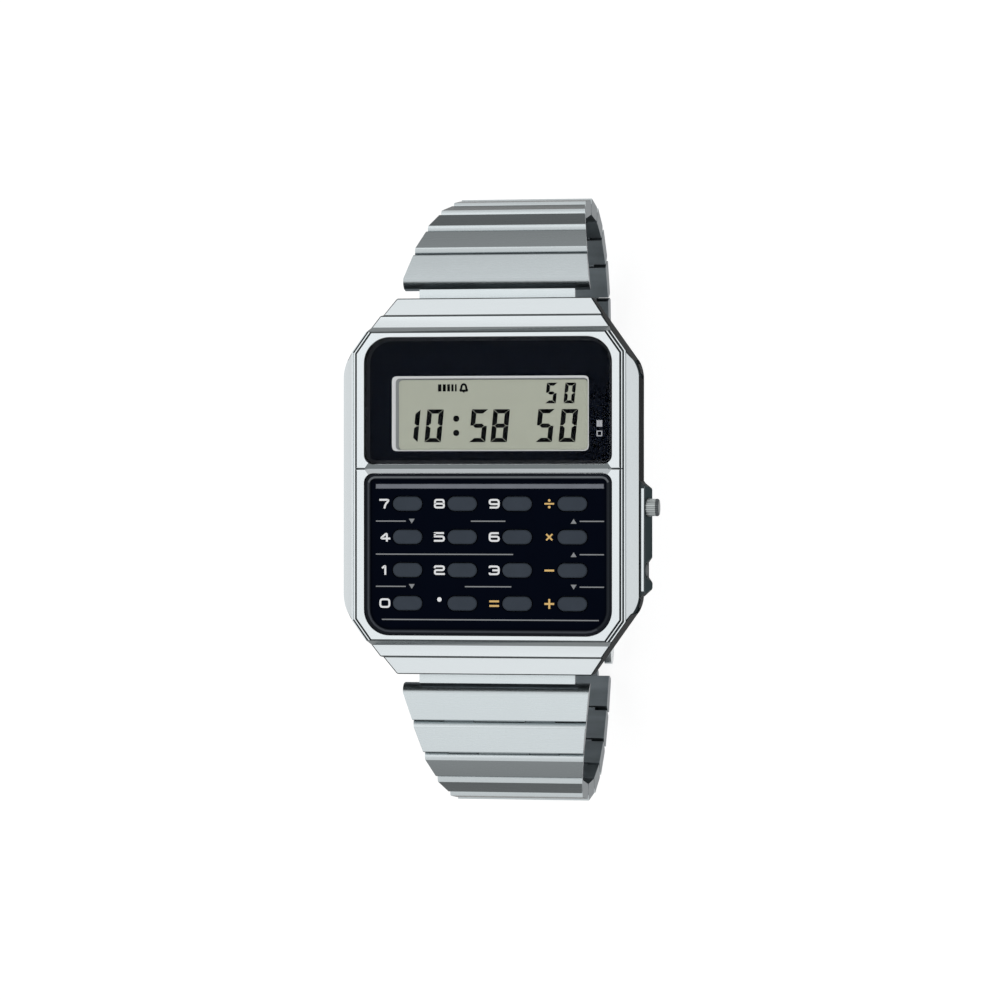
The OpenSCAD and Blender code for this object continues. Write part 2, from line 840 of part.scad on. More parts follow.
// The mode pusher's head is fluted where it stands out of the case
module mode_pusher() {
    shelf = case_w / 2 + guard_out;
    reach = guard_flare + mode_out;
    difference() {
        pusher(mode_down, mode_d / 2, mode_stem_r, mode_head_x, shelf + reach);
        translate([shelf, -mode_down, rim_z - pusher_depth])
            for (i = [0:flutes - 1])
                rotate([i * 360 / flutes, 0, 0]) translate([0, 0, mode_d / 2])
                    rotate([0, 90, 0]) cylinder(r = flute_r, h = reach + overrun);
    }
}

module adjust_pusher() {
    pusher(adjust_down, adjust_d / 2, adjust_stem_r, adjust_head_x, case_w / 2 + guard_out + adjust_out);
}

module mode_spring() {
    pusher_spring(mode_down, mode_d / 2 - run_gap, mode_stem_r, mode_seat_x, mode_head_x);
}

module adjust_spring() {
    pusher_spring(adjust_down, adjust_d / 2 - run_gap, adjust_stem_r, adjust_seat_x, adjust_head_x);
}

module spring_bar() {
    half = tongue_w / 2 + slot_gap;
    translate([0, bar_half_y, rim_z - bar_depth]) rotate([0, 90, 0]) {
        cylinder(r = bar_r, h = 2 * (half - pin_play), center = true);
        cylinder(r = bar_end_r, h = 2 * (half + bar_end_l - pin_play), center = true);
    }
}

module spring_bars() {
    color([0.66, 0.67, 0.68]) {
        spring_bar();
        mirror([0, 1, 0]) spring_bar();
    }
}

// Width of the band at the near edge of link n, counted from 0 at the case
function width_at(n) = max(band_end_w, band_w - n * band_taper);

// A bar of round section along X, at a place along the link and between two places in X
module cross_bar(s, r, from_x, to_x) {
    translate([from_x, s, 0]) rotate([0, 90, 0]) cylinder(r = r, h = to_x - from_x);
}

// The outer pair of knuckle places at a joint, and the middle one
module side_bars(s, r, gap) {
    for (side = [0, 1])
        mirror([side, 0, 0]) cross_bar(s, r, hinge_mid + hinge_side_gap - gap, hinge_half + gap);
}

module middle_bar(s, r, gap) {
    cross_bar(s, r, -hinge_mid - gap, hinge_mid + gap);
}

// The bevelled plate of a link, with its near pin on the X axis and its outer face towards +Z
module link_plate(n) {
    outer = pin_in;
    inner = pin_in - link_t;
    w = [width_at(n) / 2, width_at(n + 1) / 2];
    intersection() {
        rotate([90, 0, 90]) linear_extrude(band_w + overrun, center = true) polygon([
            [joint_gap, 0],
            [joint_gap + relief, inner],
            [pitch - joint_gap - relief, inner],
            [pitch - joint_gap, 0],
            [pitch - joint_gap, outer],
            [link_bevel_l, outer + link_proud],
            [joint_gap, outer + link_proud - link_bevel_h]
        ]);
        translate([0, 0, inner - overrun]) linear_extrude(link_t + link_proud + 2 * overrun)
            polygon([[w[0], 0], [w[1], pitch], [-w[1], pitch], [-w[0], 0]]);
    }
}

// One link with its far pin; the first link has a strip and a tube instead of a middle knuckle
module link(n, tilts) {
    first = n == 0;
    translate([0, pin_y(tilts, n), rim_z - pin_depth(tilts, n)]) rotate([-tilts[n], 0, 0]) {
        difference() {
            union() {
                link_plate(n);
                if (!first) middle_bar(0, knuckle_r, 0);
                side_bars(pitch, knuckle_r, 0);
            }
            if (!first) {
                side_bars(0, knuckle_cut_r, hinge_side_gap);
                middle_bar(0, pin_r + run_gap, overrun);
            }
            middle_bar(pitch, knuckle_cut_r, hinge_side_gap / 2);
            cross_bar(pitch, pin_r + pin_play, -hinge_half - overrun, hinge_half + overrun);
        }
        cross_bar(pitch, pin_r, -hinge_half, hinge_half);
    }
}

// The strip and tube that turn on the spring bar, cut off where the first plate begins
module band_end(tilts) {
    reach = pin_y(tilts, 0) + joint_gap + relief;
    difference() {
        union() {
            translate([-tongue_w / 2, bar_half_y, rim_z - bar_depth - tongue_low])
                cube([tongue_w, reach - bar_half_y, tongue_t]);
            translate([-tongue_w / 2, bar_half_y, rim_z - bar_depth])
                rotate([0, 90, 0]) cylinder(r = tube_r, h = tongue_w);
        }
        translate([-tongue_w / 2 - overrun, bar_half_y, rim_z - bar_depth])
            rotate([0, 90, 0]) cylinder(r = bar_r + run_gap, h = tongue_w + 2 * overrun);
    }
}

module band_link(n, tilts) {
    color([0.76, 0.79, 0.8]) {
        link(n, tilts);
        if (n == 0) band_end(tilts);
    }
}

module low_link(n) {
    mirror([0, 1, 0]) band_link(n, closed_low_tilts);
}

// The folding leaf hangs on the last upper link and carries the cover's hinge tube
module clasp_leaf() {
    half = clasp_w / 2 - cover_wall - leaf_side_gap;
    start = top_end_y - knuckle_cut_r - hinge_side_gap;
    color([0.7, 0.72, 0.73]) difference() {
        union() {
            translate([-half, cover_hinge_y, leaf_low]) cube([2 * half, start - cover_hinge_y, leaf_t]);
            translate([-hinge_mid, start - overrun, leaf_low])
                cube([2 * hinge_mid, top_end_y - start + overrun, leaf_t]);
            translate([0, top_end_y, clasp_pin_z]) middle_bar(0, knuckle_r, 0);
            translate([0, cover_hinge_y, clasp_pin_z]) cross_bar(0, leaf_tube_r, -half, half);
        }
        translate([0, top_end_y, clasp_pin_z]) middle_bar(0, pin_r + run_gap, overrun);
        translate([0, cover_hinge_y, clasp_pin_z])
            cross_bar(0, cover_pin_r + run_gap, -half - overrun, half + overrun);
    }
}

// Middle knuckle at the cover's hinge end, round about its hinge, that meets the last lower link's pin
module cover_tongue() {
    reach = cover_hinge_y - low_end_y - pin_r - tongue_gap;
    translate([0, cover_hinge_y, clasp_pin_z]) rotate([90, 0, 90])
        linear_extrude(2 * hinge_mid, center = true)
            intersection() {
                difference() {
                    circle(r = reach);
                    circle(r = leaf_tube_r + run_gap);
                }
                translate([-reach, -clasp_pin_z]) square([reach, clasp_pin_z + pin_r]);
            }
}

// The outer cover: a channel round the leaf, with the pin that both turn on
module clasp_cover() {
    half = clasp_w / 2;
    cover_start = top_end_y - 2 * joint_gap;
    color([0.74, 0.76, 0.77]) {
        difference() {
            union() {
                translate([-half, cover_hinge_y, 0]) cube([2 * half, cover_start - cover_hinge_y, cover_floor]);
                cover_tongue();
                for (side = [-1, 1])
                    translate([side * (half - cover_wall / 2), 0, 0]) {
                        translate([-cover_wall / 2, cover_hinge_y, 0])
                            cube([cover_wall, cover_start - cover_hinge_y - knuckle_cut_r, cover_h]);
                        translate([0, cover_hinge_y, clasp_pin_z])
                            cross_bar(0, cover_end_r, -cover_wall / 2, cover_wall / 2);
                    }
            }
            translate([-tab_w / 2 - tab_gap, tab_y - tab_l - tab_gap, -overrun])
                cube([tab_w + 2 * tab_gap, tab_l + tab_barrel_r + 2 * tab_gap, cover_floor + 2 * overrun]);
            translate([0, tab_y, cover_floor / 2])
                cross_bar(0, tab_trunnion_r + run_gap, -tab_w / 2 - tab_trunnion_l, tab_w / 2 + tab_trunnion_l);
            translate([0, cover_hinge_y, clasp_pin_z])
                cross_bar(0, cover_pin_r + pin_play, -half - overrun, half + overrun);
            for (y = [cover_start - 2 * cover_wall, cover_hinge_y + 2 * cover_wall])
                translate([-half - overrun, y, -overrun])
                    cube([2 * (half + overrun), cover_groove_w, overrun + cover_groove_depth]);
        }
        translate([0, cover_hinge_y, clasp_pin_z]) cross_bar(0, cover_pin_r, -half, half);
    }
}

// The adjusting tab in the cover's floor turns on two trunnions
module clasp_tab() {
    color([0.68, 0.7, 0.71]) translate([0, tab_y, cover_floor / 2]) {
        cross_bar(0, tab_barrel_r, -tab_w / 2, tab_w / 2);
        cross_bar(0, tab_trunnion_r, -tab_w / 2 - tab_trunnion_l + pin_play, tab_w / 2 + tab_trunnion_l - pin_play);
        translate([-tab_w / 2, -tab_l, -tab_barrel_r]) cube([tab_w, tab_l, tab_t]);
        translate([-tab_w / 2, -tab_l, -tab_barrel_r]) cube([tab_w, tab_rib, 2 * tab_barrel_r]);
    }
}

case_shell();
display_window();
window_mask();
keypad_panel();
for (row = [0:key_rows - 1], column = [0:key_columns - 1])
    key(row, column);
dome_sheet();
lcd_panel();
lcd_connectors();
module_frame();
circuit_board();
board_components();
battery();
battery_strap();
piezo_disc();
back_gasket();
back_cover();
back_screws();
mode_pusher();
mode_spring();
adjust_pusher();
adjust_spring();
spring_bars();
for (n = [0:link_count - 1]) {
    band_link(n, top_tilts);
    low_link(n);
}
clasp_leaf();
clasp_cover();
clasp_tab();
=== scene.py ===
from math import cos, pi, radians, sin, tan

import bmesh
import bpy
from mathutils import Matrix, Vector


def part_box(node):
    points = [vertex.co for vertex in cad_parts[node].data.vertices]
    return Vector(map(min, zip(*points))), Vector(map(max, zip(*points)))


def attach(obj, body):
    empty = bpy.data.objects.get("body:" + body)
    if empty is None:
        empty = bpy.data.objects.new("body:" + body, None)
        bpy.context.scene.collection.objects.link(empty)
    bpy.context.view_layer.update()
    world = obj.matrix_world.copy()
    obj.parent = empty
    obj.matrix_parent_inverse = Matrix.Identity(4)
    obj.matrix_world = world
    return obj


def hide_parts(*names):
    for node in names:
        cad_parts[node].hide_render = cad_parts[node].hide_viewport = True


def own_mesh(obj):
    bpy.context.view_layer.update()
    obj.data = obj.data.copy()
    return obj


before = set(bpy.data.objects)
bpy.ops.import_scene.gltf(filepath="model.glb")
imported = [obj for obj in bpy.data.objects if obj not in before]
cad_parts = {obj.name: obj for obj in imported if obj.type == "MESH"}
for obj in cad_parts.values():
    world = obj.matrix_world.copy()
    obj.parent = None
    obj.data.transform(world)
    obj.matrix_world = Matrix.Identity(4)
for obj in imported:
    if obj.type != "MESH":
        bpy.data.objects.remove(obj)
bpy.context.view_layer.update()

# Case shell: one moulding of hard resin with bright chrome plating, its flat steps brushed
# satin and its slopes left polished. Its plating colour carries painted shade on the slopes,
# the upright walls, the grooves, the seam, the guard and the upper half of the bar between the
# windows, a painted highlight on the bar's lower half, and painted shade on faces turned away
# from the eye.
MM = 0.001
CHROME = (0.75, 0.80, 0.82)
# Painted shade: a darker copy of the plating for the slopes and the ridge.
CHROME_SLOPE_SHADE = (0.24, 0.26, 0.265)
# Painted shade: a dark copy of the plating for the upright walls, the groove floors and the seam.
CHROME_PAINTED_SHADE = (0.042, 0.050, 0.053)
# Painted shade on the upper half of the bar between the windows, a painted highlight on its lower half.
BAR_SHADE = (0.16, 0.18, 0.185)
BAR_HIGHLIGHT = (0.42, 0.45, 0.46)
# Painted shade on the guard round the pushers.
GUARD_SHADE = (0.12, 0.14, 0.145)
# Painted shade: the plating darkens as its faces turn away from the eye.
FACET_FACING_SHADE = ((0.0, 1.0), (0.35, 1.0), (0.53, 0.86), (1.0, 0.8))
BRIGHT, PAINTED_SHADE, SLOPE_SHADE, BAR_SHADE_ZONE, BAR_HIGHLIGHT_ZONE, GUARD_SHADE_ZONE = range(6)
CASE_EDGE, CASE_SHORT = 0.13 * MM, 1.2 * MM
SHORT_EDGE, SHARP_TURN = 0.35 * MM, radians(20)
WELD, FLAT_TURN, CUT_PLAY = 0.0005 * MM, radians(0.5), 0.0001 * MM
SAME_SHEET = cos(radians(50))
BUMP_DEPTH = 0.02 * MM
# Depths under the rim, and places across and along the case.
GROOVE_DOWN, SPLIT_DOWN, DEPTH_PLAY = 0.45 * MM, 0.15 * MM, 0.03 * MM
RIDGE_DOWN, RIDGE_PLAY, FLOOR_PLAY = 0.08 * MM, 0.02 * MM, 0.1 * MM
RIM_DEPTH = 0.25 * MM
BAR_Y, BAR_HALF, BAR_END, BAR_DOWN = 2.0 * MM, 0.5 * MM, 14.3 * MM, 0.2 * MM
WALL_X, SHELF_X, GUARD_X = 17.2 * MM, 17.4 * MM, 17.75 * MM
LEDGE_LOW, LEDGE_HIGH = -12.0 * MM, -0.25 * MM
LEFT_X, SIDE_Y = -15.4 * MM, 12.5 * MM
SEAM_X, SEAM_END, SEAM_TOP, SEAM_DEPTH = 15.3 * MM, 15.8 * MM, 0.1 * MM, 2 * MM
# A face's lean is the upward share of its direction, its turn the share across or along.
UPWARD, FLOOR_LEAN, FLAT, UNDERSIDE = 0.3, 0.9, 0.95, -0.5
STEP_LEAN, STEP_PLAY, STEP_TURN = 0.89, 0.01, 0.02
END_LEAN, END_TURN = (0.3, 0.5), 0.85
FACET_LEAN, FACET_TURN = (0.55, 0.68), 0.75

rim_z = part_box("case_shell")[1].z


def new_node(tree, kind, x, y, *feeds, operation="", **named):
    """A shader node at a place in its tree. An input takes a number or another node's output."""
    made = tree.nodes.new(kind)
    made.location = (x, y)
    if operation:
        made.operation = operation
    for socket, value in [*enumerate(feeds), *named.items()]:
        if isinstance(socket, str):
            socket = socket.replace("_", " ")
        if isinstance(value, bpy.types.NodeSocket):
            tree.links.new(value, made.inputs[socket])
        else:
            made.inputs[socket].default_value = value
    return made


def worked_out(tree, x, y, operation, *feeds):
    """The result of a math node."""
    return new_node(tree, "ShaderNodeMath", x, y, *feeds, operation=operation).outputs[0]


def new_group(name, inputs, outputs):
    """An empty node group with named float, colour or vector sockets."""
    group = bpy.data.node_groups.new(name, "ShaderNodeTree")
    for socket, kind, value in inputs:
        made = group.interface.new_socket(socket, in_out="INPUT", socket_type=kind)
        made.default_value = value
    for socket, kind in outputs:
        group.interface.new_socket(socket, in_out="OUTPUT", socket_type=kind)
    group.nodes.new("NodeGroupInput").location = (-900, 0)
    group.nodes.new("NodeGroupOutput").location = (900, 0)
    return group


def brushed_group():
    """Fine straight brushing: long thin scratches along X, with slow patches of wear."""
    group = new_group(
        "brushed_metal",
        [
            ("Along", "NodeSocketFloat", 60.0), ("Across", "NodeSocketFloat", 9000.0),
            ("Base", "NodeSocketColor", (1, 1, 1, 1)), ("Tone", "NodeSocketFloat", 0.06),
            ("Roughness", "NodeSocketFloat", 0.3), ("Spread", "NodeSocketFloat", 0.08),
        ],
        [("Color", "NodeSocketColor"), ("Roughness", "NodeSocketFloat"), ("Height", "NodeSocketFloat")],
    )
    given, result = group.nodes["Group Input"].outputs, group.nodes["Group Output"].inputs
    place = new_node(group, "ShaderNodeTexCoord", -900, -300).outputs["Object"]
    scale = new_node(
        group, "ShaderNodeCombineXYZ", -700, 100, X=given["Along"], Y=given["Across"], Z=given["Across"],
    ).outputs[0]
    stretched = new_node(
        group, "ShaderNodeVectorMath", -520, -100, place, scale, operation="MULTIPLY",
    ).outputs[0]
    lines = new_node(
        group, "ShaderNodeTexNoise", -340, -100, Vector=stretched, Scale=1.0, Detail=3.0, Roughness=0.6,
    ).outputs["Fac"]
    patches = new_node(
        group, "ShaderNodeTexNoise", -340, -400, Vector=place, Scale=240.0, Detail=2.0, Roughness=0.5,
    ).outputs["Fac"]
    wear = worked_out(group, -240, -420, "MULTIPLY", patches, 0.4)
    both = worked_out(group, -140, -200, "MULTIPLY_ADD", lines, 0.6, wear)
    centred = worked_out(group, 40, -200, "SUBTRACT", both, 0.5)
    shade = worked_out(group, 220, 100, "MULTIPLY_ADD", centred, given["Tone"], 1.0)
    rough = worked_out(group, 220, -120, "MULTIPLY_ADD", centred, given["Spread"], given["Roughness"])
    tint = new_node(group, "ShaderNodeVectorMath", 420, 100, given["Base"], operation="SCALE", Scale=shade)
    group.links.new(tint.outputs[0], result["Color"])
    group.links.new(rough, result["Roughness"])
    group.links.new(lines, result["Height"])
    return group


BRUSHED = brushed_group()


def new_material(name, metallic=0.0, coat=0.0, specular=0.5):
    """A material with its shader, and the constants that are the same all over it."""
    material = bpy.data.materials.new(name)
    material.use_nodes = True
    shader = material.node_tree.nodes["Principled BSDF"]
    shader.inputs["Metallic"].default_value = metallic
    shader.inputs["Coat Weight"].default_value = coat
    shader.inputs["Specular IOR Level"].default_value = specular
    return material, material.node_tree, shader


def wire(tree, shader, colour, roughness, normal):
    """Feeds a shader its colour, roughness and relief."""
    for made, socket in ((colour, "Base Color"), (roughness, "Roughness"), (normal, "Normal")):
        tree.links.new(made, shader.inputs[socket])


def brushed_metal(
    name, base, roughness, spread=0.08, tone=0.06, along=60.0, across=9000.0, edge=1.0, bump=0.02, facing_shade=(),
):
    """Satin metal brushed along X. The facing shade, when given, darkens its colour as it turns away from
    the eye: painted shade.
    """
    material, tree, shader = new_material(name, metallic=1.0)
    brushed = tree.nodes.new("ShaderNodeGroup")
    brushed.node_tree = BRUSHED
    brushed.location = (-500, 0)
    settings = {
        "Along": along, "Across": across, "Base": (*base, 1), "Tone": tone,
        "Roughness": roughness, "Spread": spread,
    }
    for socket, value in settings.items():
        brushed.inputs[socket].default_value = value
    colour = brushed.outputs["Color"]
    if facing_shade:
        # Painted shade: the colour darkens as the face turns from the eye.
        away = new_node(tree, "ShaderNodeLayerWeight", -900, 300, Blend=0.5)
        ramp = new_node(tree, "ShaderNodeValToRGB", -700, 300, away.outputs["Facing"])
        stops = ramp.color_ramp.elements
        while len(stops) < len(facing_shade):
            stops.new(0.5)
        for stop, (place, level) in zip(stops, facing_shade):
            stop.position = place
            stop.color = (level, level, level, 1)
        faded = new_node(
            tree, "ShaderNodeVectorMath", -240, 200, colour, ramp.outputs["Color"], operation="MULTIPLY",
        )
        colour = faded.outputs[0]
    height = brushed.outputs["Height"]
    relief = new_node(tree, "ShaderNodeBump", -240, -300, Strength=bump, Distance=BUMP_DEPTH, Height=height)
    shader.inputs["Specular Tint"].default_value = (edge, edge, edge, 1)
    wire(tree, shader, colour, brushed.outputs["Roughness"], relief.outputs["Normal"])
    return material


def paint(piece, *materials):
    """Gives a piece its materials; its faces keep the numbers that they have."""
    piece.data.materials.clear()
    for material in materials:
        piece.data.materials.append(material)


def merged(node):
    """A CAD node's mesh with its flat faces in one piece each."""
    bm = bmesh.new()
    bm.from_mesh(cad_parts[node].data)
    bmesh.ops.remove_doubles(bm, verts=bm.verts, dist=WELD)
    bmesh.ops.dissolve_limit(bm, angle_limit=FLAT_TURN, verts=bm.verts, edges=bm.edges)
    return bm


def round_edges(bm, edges, width, segments, clamp=False):
    """Rounds the given edges."""
    bmesh.ops.bevel(
        bm, geom=edges, offset=width, offset_type="OFFSET", affect="EDGES", segments=segments, profile=0.5,
        material=-1, clamp_overlap=clamp,
    )


def softened(node, width, shortest=SHORT_EDGE, cuts=(), bm=None, clamp=True):
    """A CAD node's mesh with its outer edges rounded. Each cut splits the faces that it chooses."""
    bm = bm or merged(node)
    edges = [
        edge for edge in bm.edges
        if edge.is_manifold and edge.is_convex
        and edge.calc_length() > shortest and edge.calc_face_angle() > SHARP_TURN
    ]
    round_edges(bm, edges, width, 2, clamp)
    for place, direction, chosen in cuts:
        faces = [face for face in bm.faces if chosen(face.calc_center_median())]
        parts = dict.fromkeys(part for face in faces for part in [*face.verts, *face.edges, face])
        bmesh.ops.bisect_plane(bm, geom=list(parts), plane_co=place, plane_no=direction, dist=CUT_PLAY)
    bmesh.ops.triangulate(bm, faces=bm.faces)
    mesh = bpy.data.meshes.new(node + "_finish")
    bm.to_mesh(mesh)
    bm.free()
    return mesh


def by_zone(mesh, rule):
    """Numbers the material of each face by a rule on its middle and its direction."""
    for face in mesh.polygons:
        face.material_index = rule(face.center, face.normal)
    return mesh


def lean_of(face):
    """A face's direction, rounded, as the name of the sheet that it belongs to."""
    return tuple(round(part, 2) for part in face.normal)


def even_shading(mesh):
    """Smooth shading in which wide sheets keep their own direction up to their rounded edges."""
    mesh.shade_smooth()
    areas = {}
    for face in mesh.polygons:
        areas[lean_of(face)] = areas.get(lean_of(face), 0) + face.area
    around = [[] for _ in mesh.vertices]
    for face in mesh.polygons:
        for vertex in face.vertices:
            around[vertex].append((face.normal.copy(), areas[lean_of(face)]))
    normals = [Vector((0, 0, 1))] * len(mesh.loops)
    for face in mesh.polygons:
        for corner in face.loop_indices:
            total = Vector()
            for normal, area in around[mesh.loops[corner].vertex_index]:
                if normal.dot(face.normal) > SAME_SHEET:
                    total += normal * area
            normals[corner] = total.normalized() if total.length > 0 else face.normal.copy()
    mesh.normals_split_custom_set(normals)


def add_piece(name, mesh, body, slot, materials, *nodes):
    """Puts a finished mesh in the scene, on its body, in place of the CAD nodes named."""
    piece = bpy.data.objects.new(name, mesh)
    bpy.context.scene.collection.objects.link(piece)
    for material in materials:
        mesh.materials.append(material)
    even_shading(mesh)
    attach(piece, body)
    if nodes:
        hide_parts(*nodes)
    return piece


def case_zone(middle, normal):
    """The number of the plating's tone on a face, by the face's place and direction. Every tone but the
    bright one is painted shade, or on the bar's lower half a painted highlight.
    """
    down = rim_z - middle.z
    upward, flat, beside = normal.z > UPWARD, normal.z > FLAT, abs(middle.y) < SIDE_Y
    # The bar between the windows: painted shade above its middle, a painted highlight below.
    if upward and down < BAR_DOWN and abs(middle.y - BAR_Y) < BAR_HALF and abs(middle.x) < BAR_END:
        return BAR_SHADE_ZONE if middle.y > BAR_Y else BAR_HIGHLIGHT_ZONE
    # The guard: painted shade.
    if middle.x > GUARD_X:
        return GUARD_SHADE_ZONE
    if upward and beside and middle.x < LEFT_X:
        return BRIGHT
    # The seam beside the rim: painted shade.
    if upward and beside and SEAM_X < middle.x < SEAM_END and down > SEAM_TOP:
        return PAINTED_SHADE
    if upward and middle.x > WALL_X:
        return BRIGHT if flat and middle.x > SHELF_X and LEDGE_LOW < middle.y < LEDGE_HIGH else PAINTED_SHADE
    if flat or (abs(normal.x) < STEP_TURN and abs(normal.z - STEP_LEAN) < STEP_PLAY):
        # Groove floors: painted shade.
        if any(abs(down - depth) < DEPTH_PLAY for depth in (GROOVE_DOWN, SPLIT_DOWN)):
            return PAINTED_SHADE
        return SLOPE_SHADE if abs(down - RIDGE_DOWN) < RIDGE_PLAY else BRIGHT
    if abs(normal.y) > END_TURN and END_LEAN[0] < normal.z < END_LEAN[1]:
        return SLOPE_SHADE
    facet = abs(normal.x) > FACET_TURN and FACET_LEAN[0] < normal.z < FACET_LEAN[1]
    return BRIGHT if facet or normal.z < UNDERSIDE else PAINTED_SHADE


def case_stock():
    """The case with its groove's floor in triangles, so that rounding can't fold it over the window."""
    bm = merged("case_shell")
    floors = [
        face for face in bm.faces
        if abs(face.normal.z) > FLOOR_LEAN
        and abs(rim_z - face.calc_center_median().z - GROOVE_DOWN) < FLOOR_PLAY
    ]
    bmesh.ops.triangulate(bm, faces=floors)
    return bm


def on_rim(middle):
    """Whether a face lies on the rim or on the bar between the windows."""
    return rim_z - middle.z < RIM_DEPTH


def on_guard(middle):
    """Whether a face lies on the guard round the pushers."""
    return middle.x > WALL_X


def on_seam(middle):
    """Whether a face lies on the seam beside the rim, which gets painted shade, or outside it."""
    return middle.x > SEAM_X and middle.z > rim_z - SEAM_DEPTH


# The plating's tones in zone order; all but the first are painted shade or a painted highlight.
case_tones = [
    brushed_metal("case_plating", CHROME, 0.2, spread=0.1, tone=0.04, bump=0.01, facing_shade=FACET_FACING_SHADE),
    brushed_metal("case_painted_shade", CHROME_PAINTED_SHADE, 0.35, spread=0.1, tone=0.2, edge=0.12, bump=0.01),
    brushed_metal("case_slope_shade", CHROME_SLOPE_SHADE, 0.25, spread=0.1, tone=0.1, edge=0.5, bump=0.01),
    brushed_metal("bar_painted_shade", BAR_SHADE, 0.25, tone=0.05, bump=0.01),
    brushed_metal("bar_painted_highlight", BAR_HIGHLIGHT, 0.25, tone=0.05, bump=0.01),
    brushed_metal("guard_painted_shade", GUARD_SHADE, 0.35, spread=0.1, tone=0.2, edge=0.2, bump=0.01),
]
sideways, lengthways = Vector((1, 0, 0)), Vector((0, 1, 0))
case_cuts = [(sideways * side * BAR_END, sideways, on_rim) for side in (-1, 1)]
case_cuts += [(lengthways * BAR_Y, lengthways, on_rim), (sideways * SHELF_X, sideways, on_guard)]
case_cuts += [(lengthways * y, lengthways, on_guard) for y in (LEDGE_LOW, LEDGE_HIGH)]
case_cuts += [(sideways * SEAM_END, sideways, on_seam)]
case_mesh = softened(
    "case_shell", CASE_EDGE, shortest=CASE_SHORT, cuts=case_cuts, bm=case_stock(), clamp=False,
)
by_zone(case_mesh, case_zone)
add_piece("case_plated", case_mesh, "case", "case_chrome", case_tones, "case_shell")

# Display: a sandwich of two glass plates with a grey-green reflector behind, on two rubber
# strips that carry the current. Its segments are dark shapes inside the top plate.
LCD_GREEN = (0.66, 0.695, 0.575)
SEGMENT_INK = (0.004, 0.005, 0.006)
INK_T = 0.012 * MM
DIGIT_SLANT = tan(radians(5.5))
BIG_DIGIT_H = 3.77 * MM
BIG_DIGIT_W = 1.92 * MM
SMALL_DIGIT_H = 2.36 * MM
SMALL_DIGIT_W = 1.24 * MM
BIG_STROKE, SMALL_STROKE = 0.56 * MM, 0.4 * MM
ACROSS_SHARE, SEGMENT_GAP = 0.85, 0.03 * MM
BIG_ROW_Y = 6.94 * MM
SMALL_ROW_Y = 10.66 * MM
BIG_DIGITS = [
    ("1", -9.17 * MM), ("0", -6.45 * MM), ("5", -1.26 * MM),
    ("8", 1.25 * MM), ("5", 6.47 * MM), ("0", 9.16 * MM),
]
SMALL_DIGITS = [("5", 7.19 * MM), ("0", 9.33 * MM)]
COLON_X, COLON_R, COLON_UP = -3.87 * MM, 0.36 * MM, 0.82 * MM
BELL_X, BELL_Y, BELL_LINE, BELL_TURN = -2.99 * MM, 11.3 * MM, 0.25 * MM, 0.12 * MM
CLAPPER_DOWN, CLAPPER_R, CLAPPER_SIDES = 0.5 * MM, 0.09 * MM, 12
# Millimetres: the right half of the bell's outline, then the middle and width of each bar.
BELL_HALF = [(0.12, 0.4), (0.26, 0.2), (0.3, -0.12), (0.42, -0.33)]
SIGNAL_BARS = [(-5.8, 0.4), (-5.26, 0.36), (-4.76, 0.32), (-4.31, 0.26), (-3.92, 0.2)]
SIGNAL_H = 0.82 * MM
ARC_STEPS, SPOT_SIDES = 4, 24
SHARPEST = 0.3
GRAIN_DEPTH, SMOOTHEST = 0.03 * MM, 0.02
SAME_POINT = 0.01 * MM
LIT = {
    "0": "abcdef", "1": "bc", "2": "abged", "3": "abgcd", "4": "fgbc",
    "5": "afgcd", "6": "afgedc", "7": "abc", "8": "abcdefg", "9": "abcdfg",
}

lcd_low, lcd_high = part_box("lcd_panel")


def raised(bm, faces, thick):
    """Makes a thin solid of flat faces, upwards."""
    made = bmesh.ops.extrude_face_region(bm, geom=faces)
    corners = [part for part in made["geom"] if isinstance(part, bmesh.types.BMVert)]
    bmesh.ops.translate(bm, vec=(0, 0, thick), verts=corners)


def flat_shape(bm, points, z, thick):
    """A thin solid on the given outline, from z upwards."""
    raised(bm, [bm.faces.new([bm.verts.new((x, y, z)) for x, y in points])], thick)


def to_mesh(bm, name):
    """Ends a bmesh with its faces outwards and gives its mesh."""
    bmesh.ops.recalc_face_normals(bm, faces=bm.faces)
    mesh = bpy.data.meshes.new(name)
    bm.to_mesh(mesh)
    bm.free()
    return mesh


def rounded_path(points, radius, closed=False):
    """A path with its corners rounded."""
    path = []
    for i, point in enumerate(points):
        here = Vector(point)
        if not closed and i in (0, len(points) - 1):
            if not path or (here - path[-1]).length > SAME_POINT:
                path.append(here)
            continue
        back, on = Vector(points[i - 1]) - here, Vector(points[(i + 1) % len(points)]) - here
        reach = min(radius, back.length / 2, on.length / 2)
        start, end = here + back.normalized() * reach, here + on.normalized() * reach
        for step in range(ARC_STEPS + 1):
            t = step / ARC_STEPS
            point = start * (1 - t) ** 2 + here * (2 * t * (1 - t)) + end * t ** 2
            if not path or (point - path[-1]).length > SAME_POINT:
                path.append(point)
    if closed and (path[0] - path[-1]).length < SAME_POINT:
        path.pop()
    return path


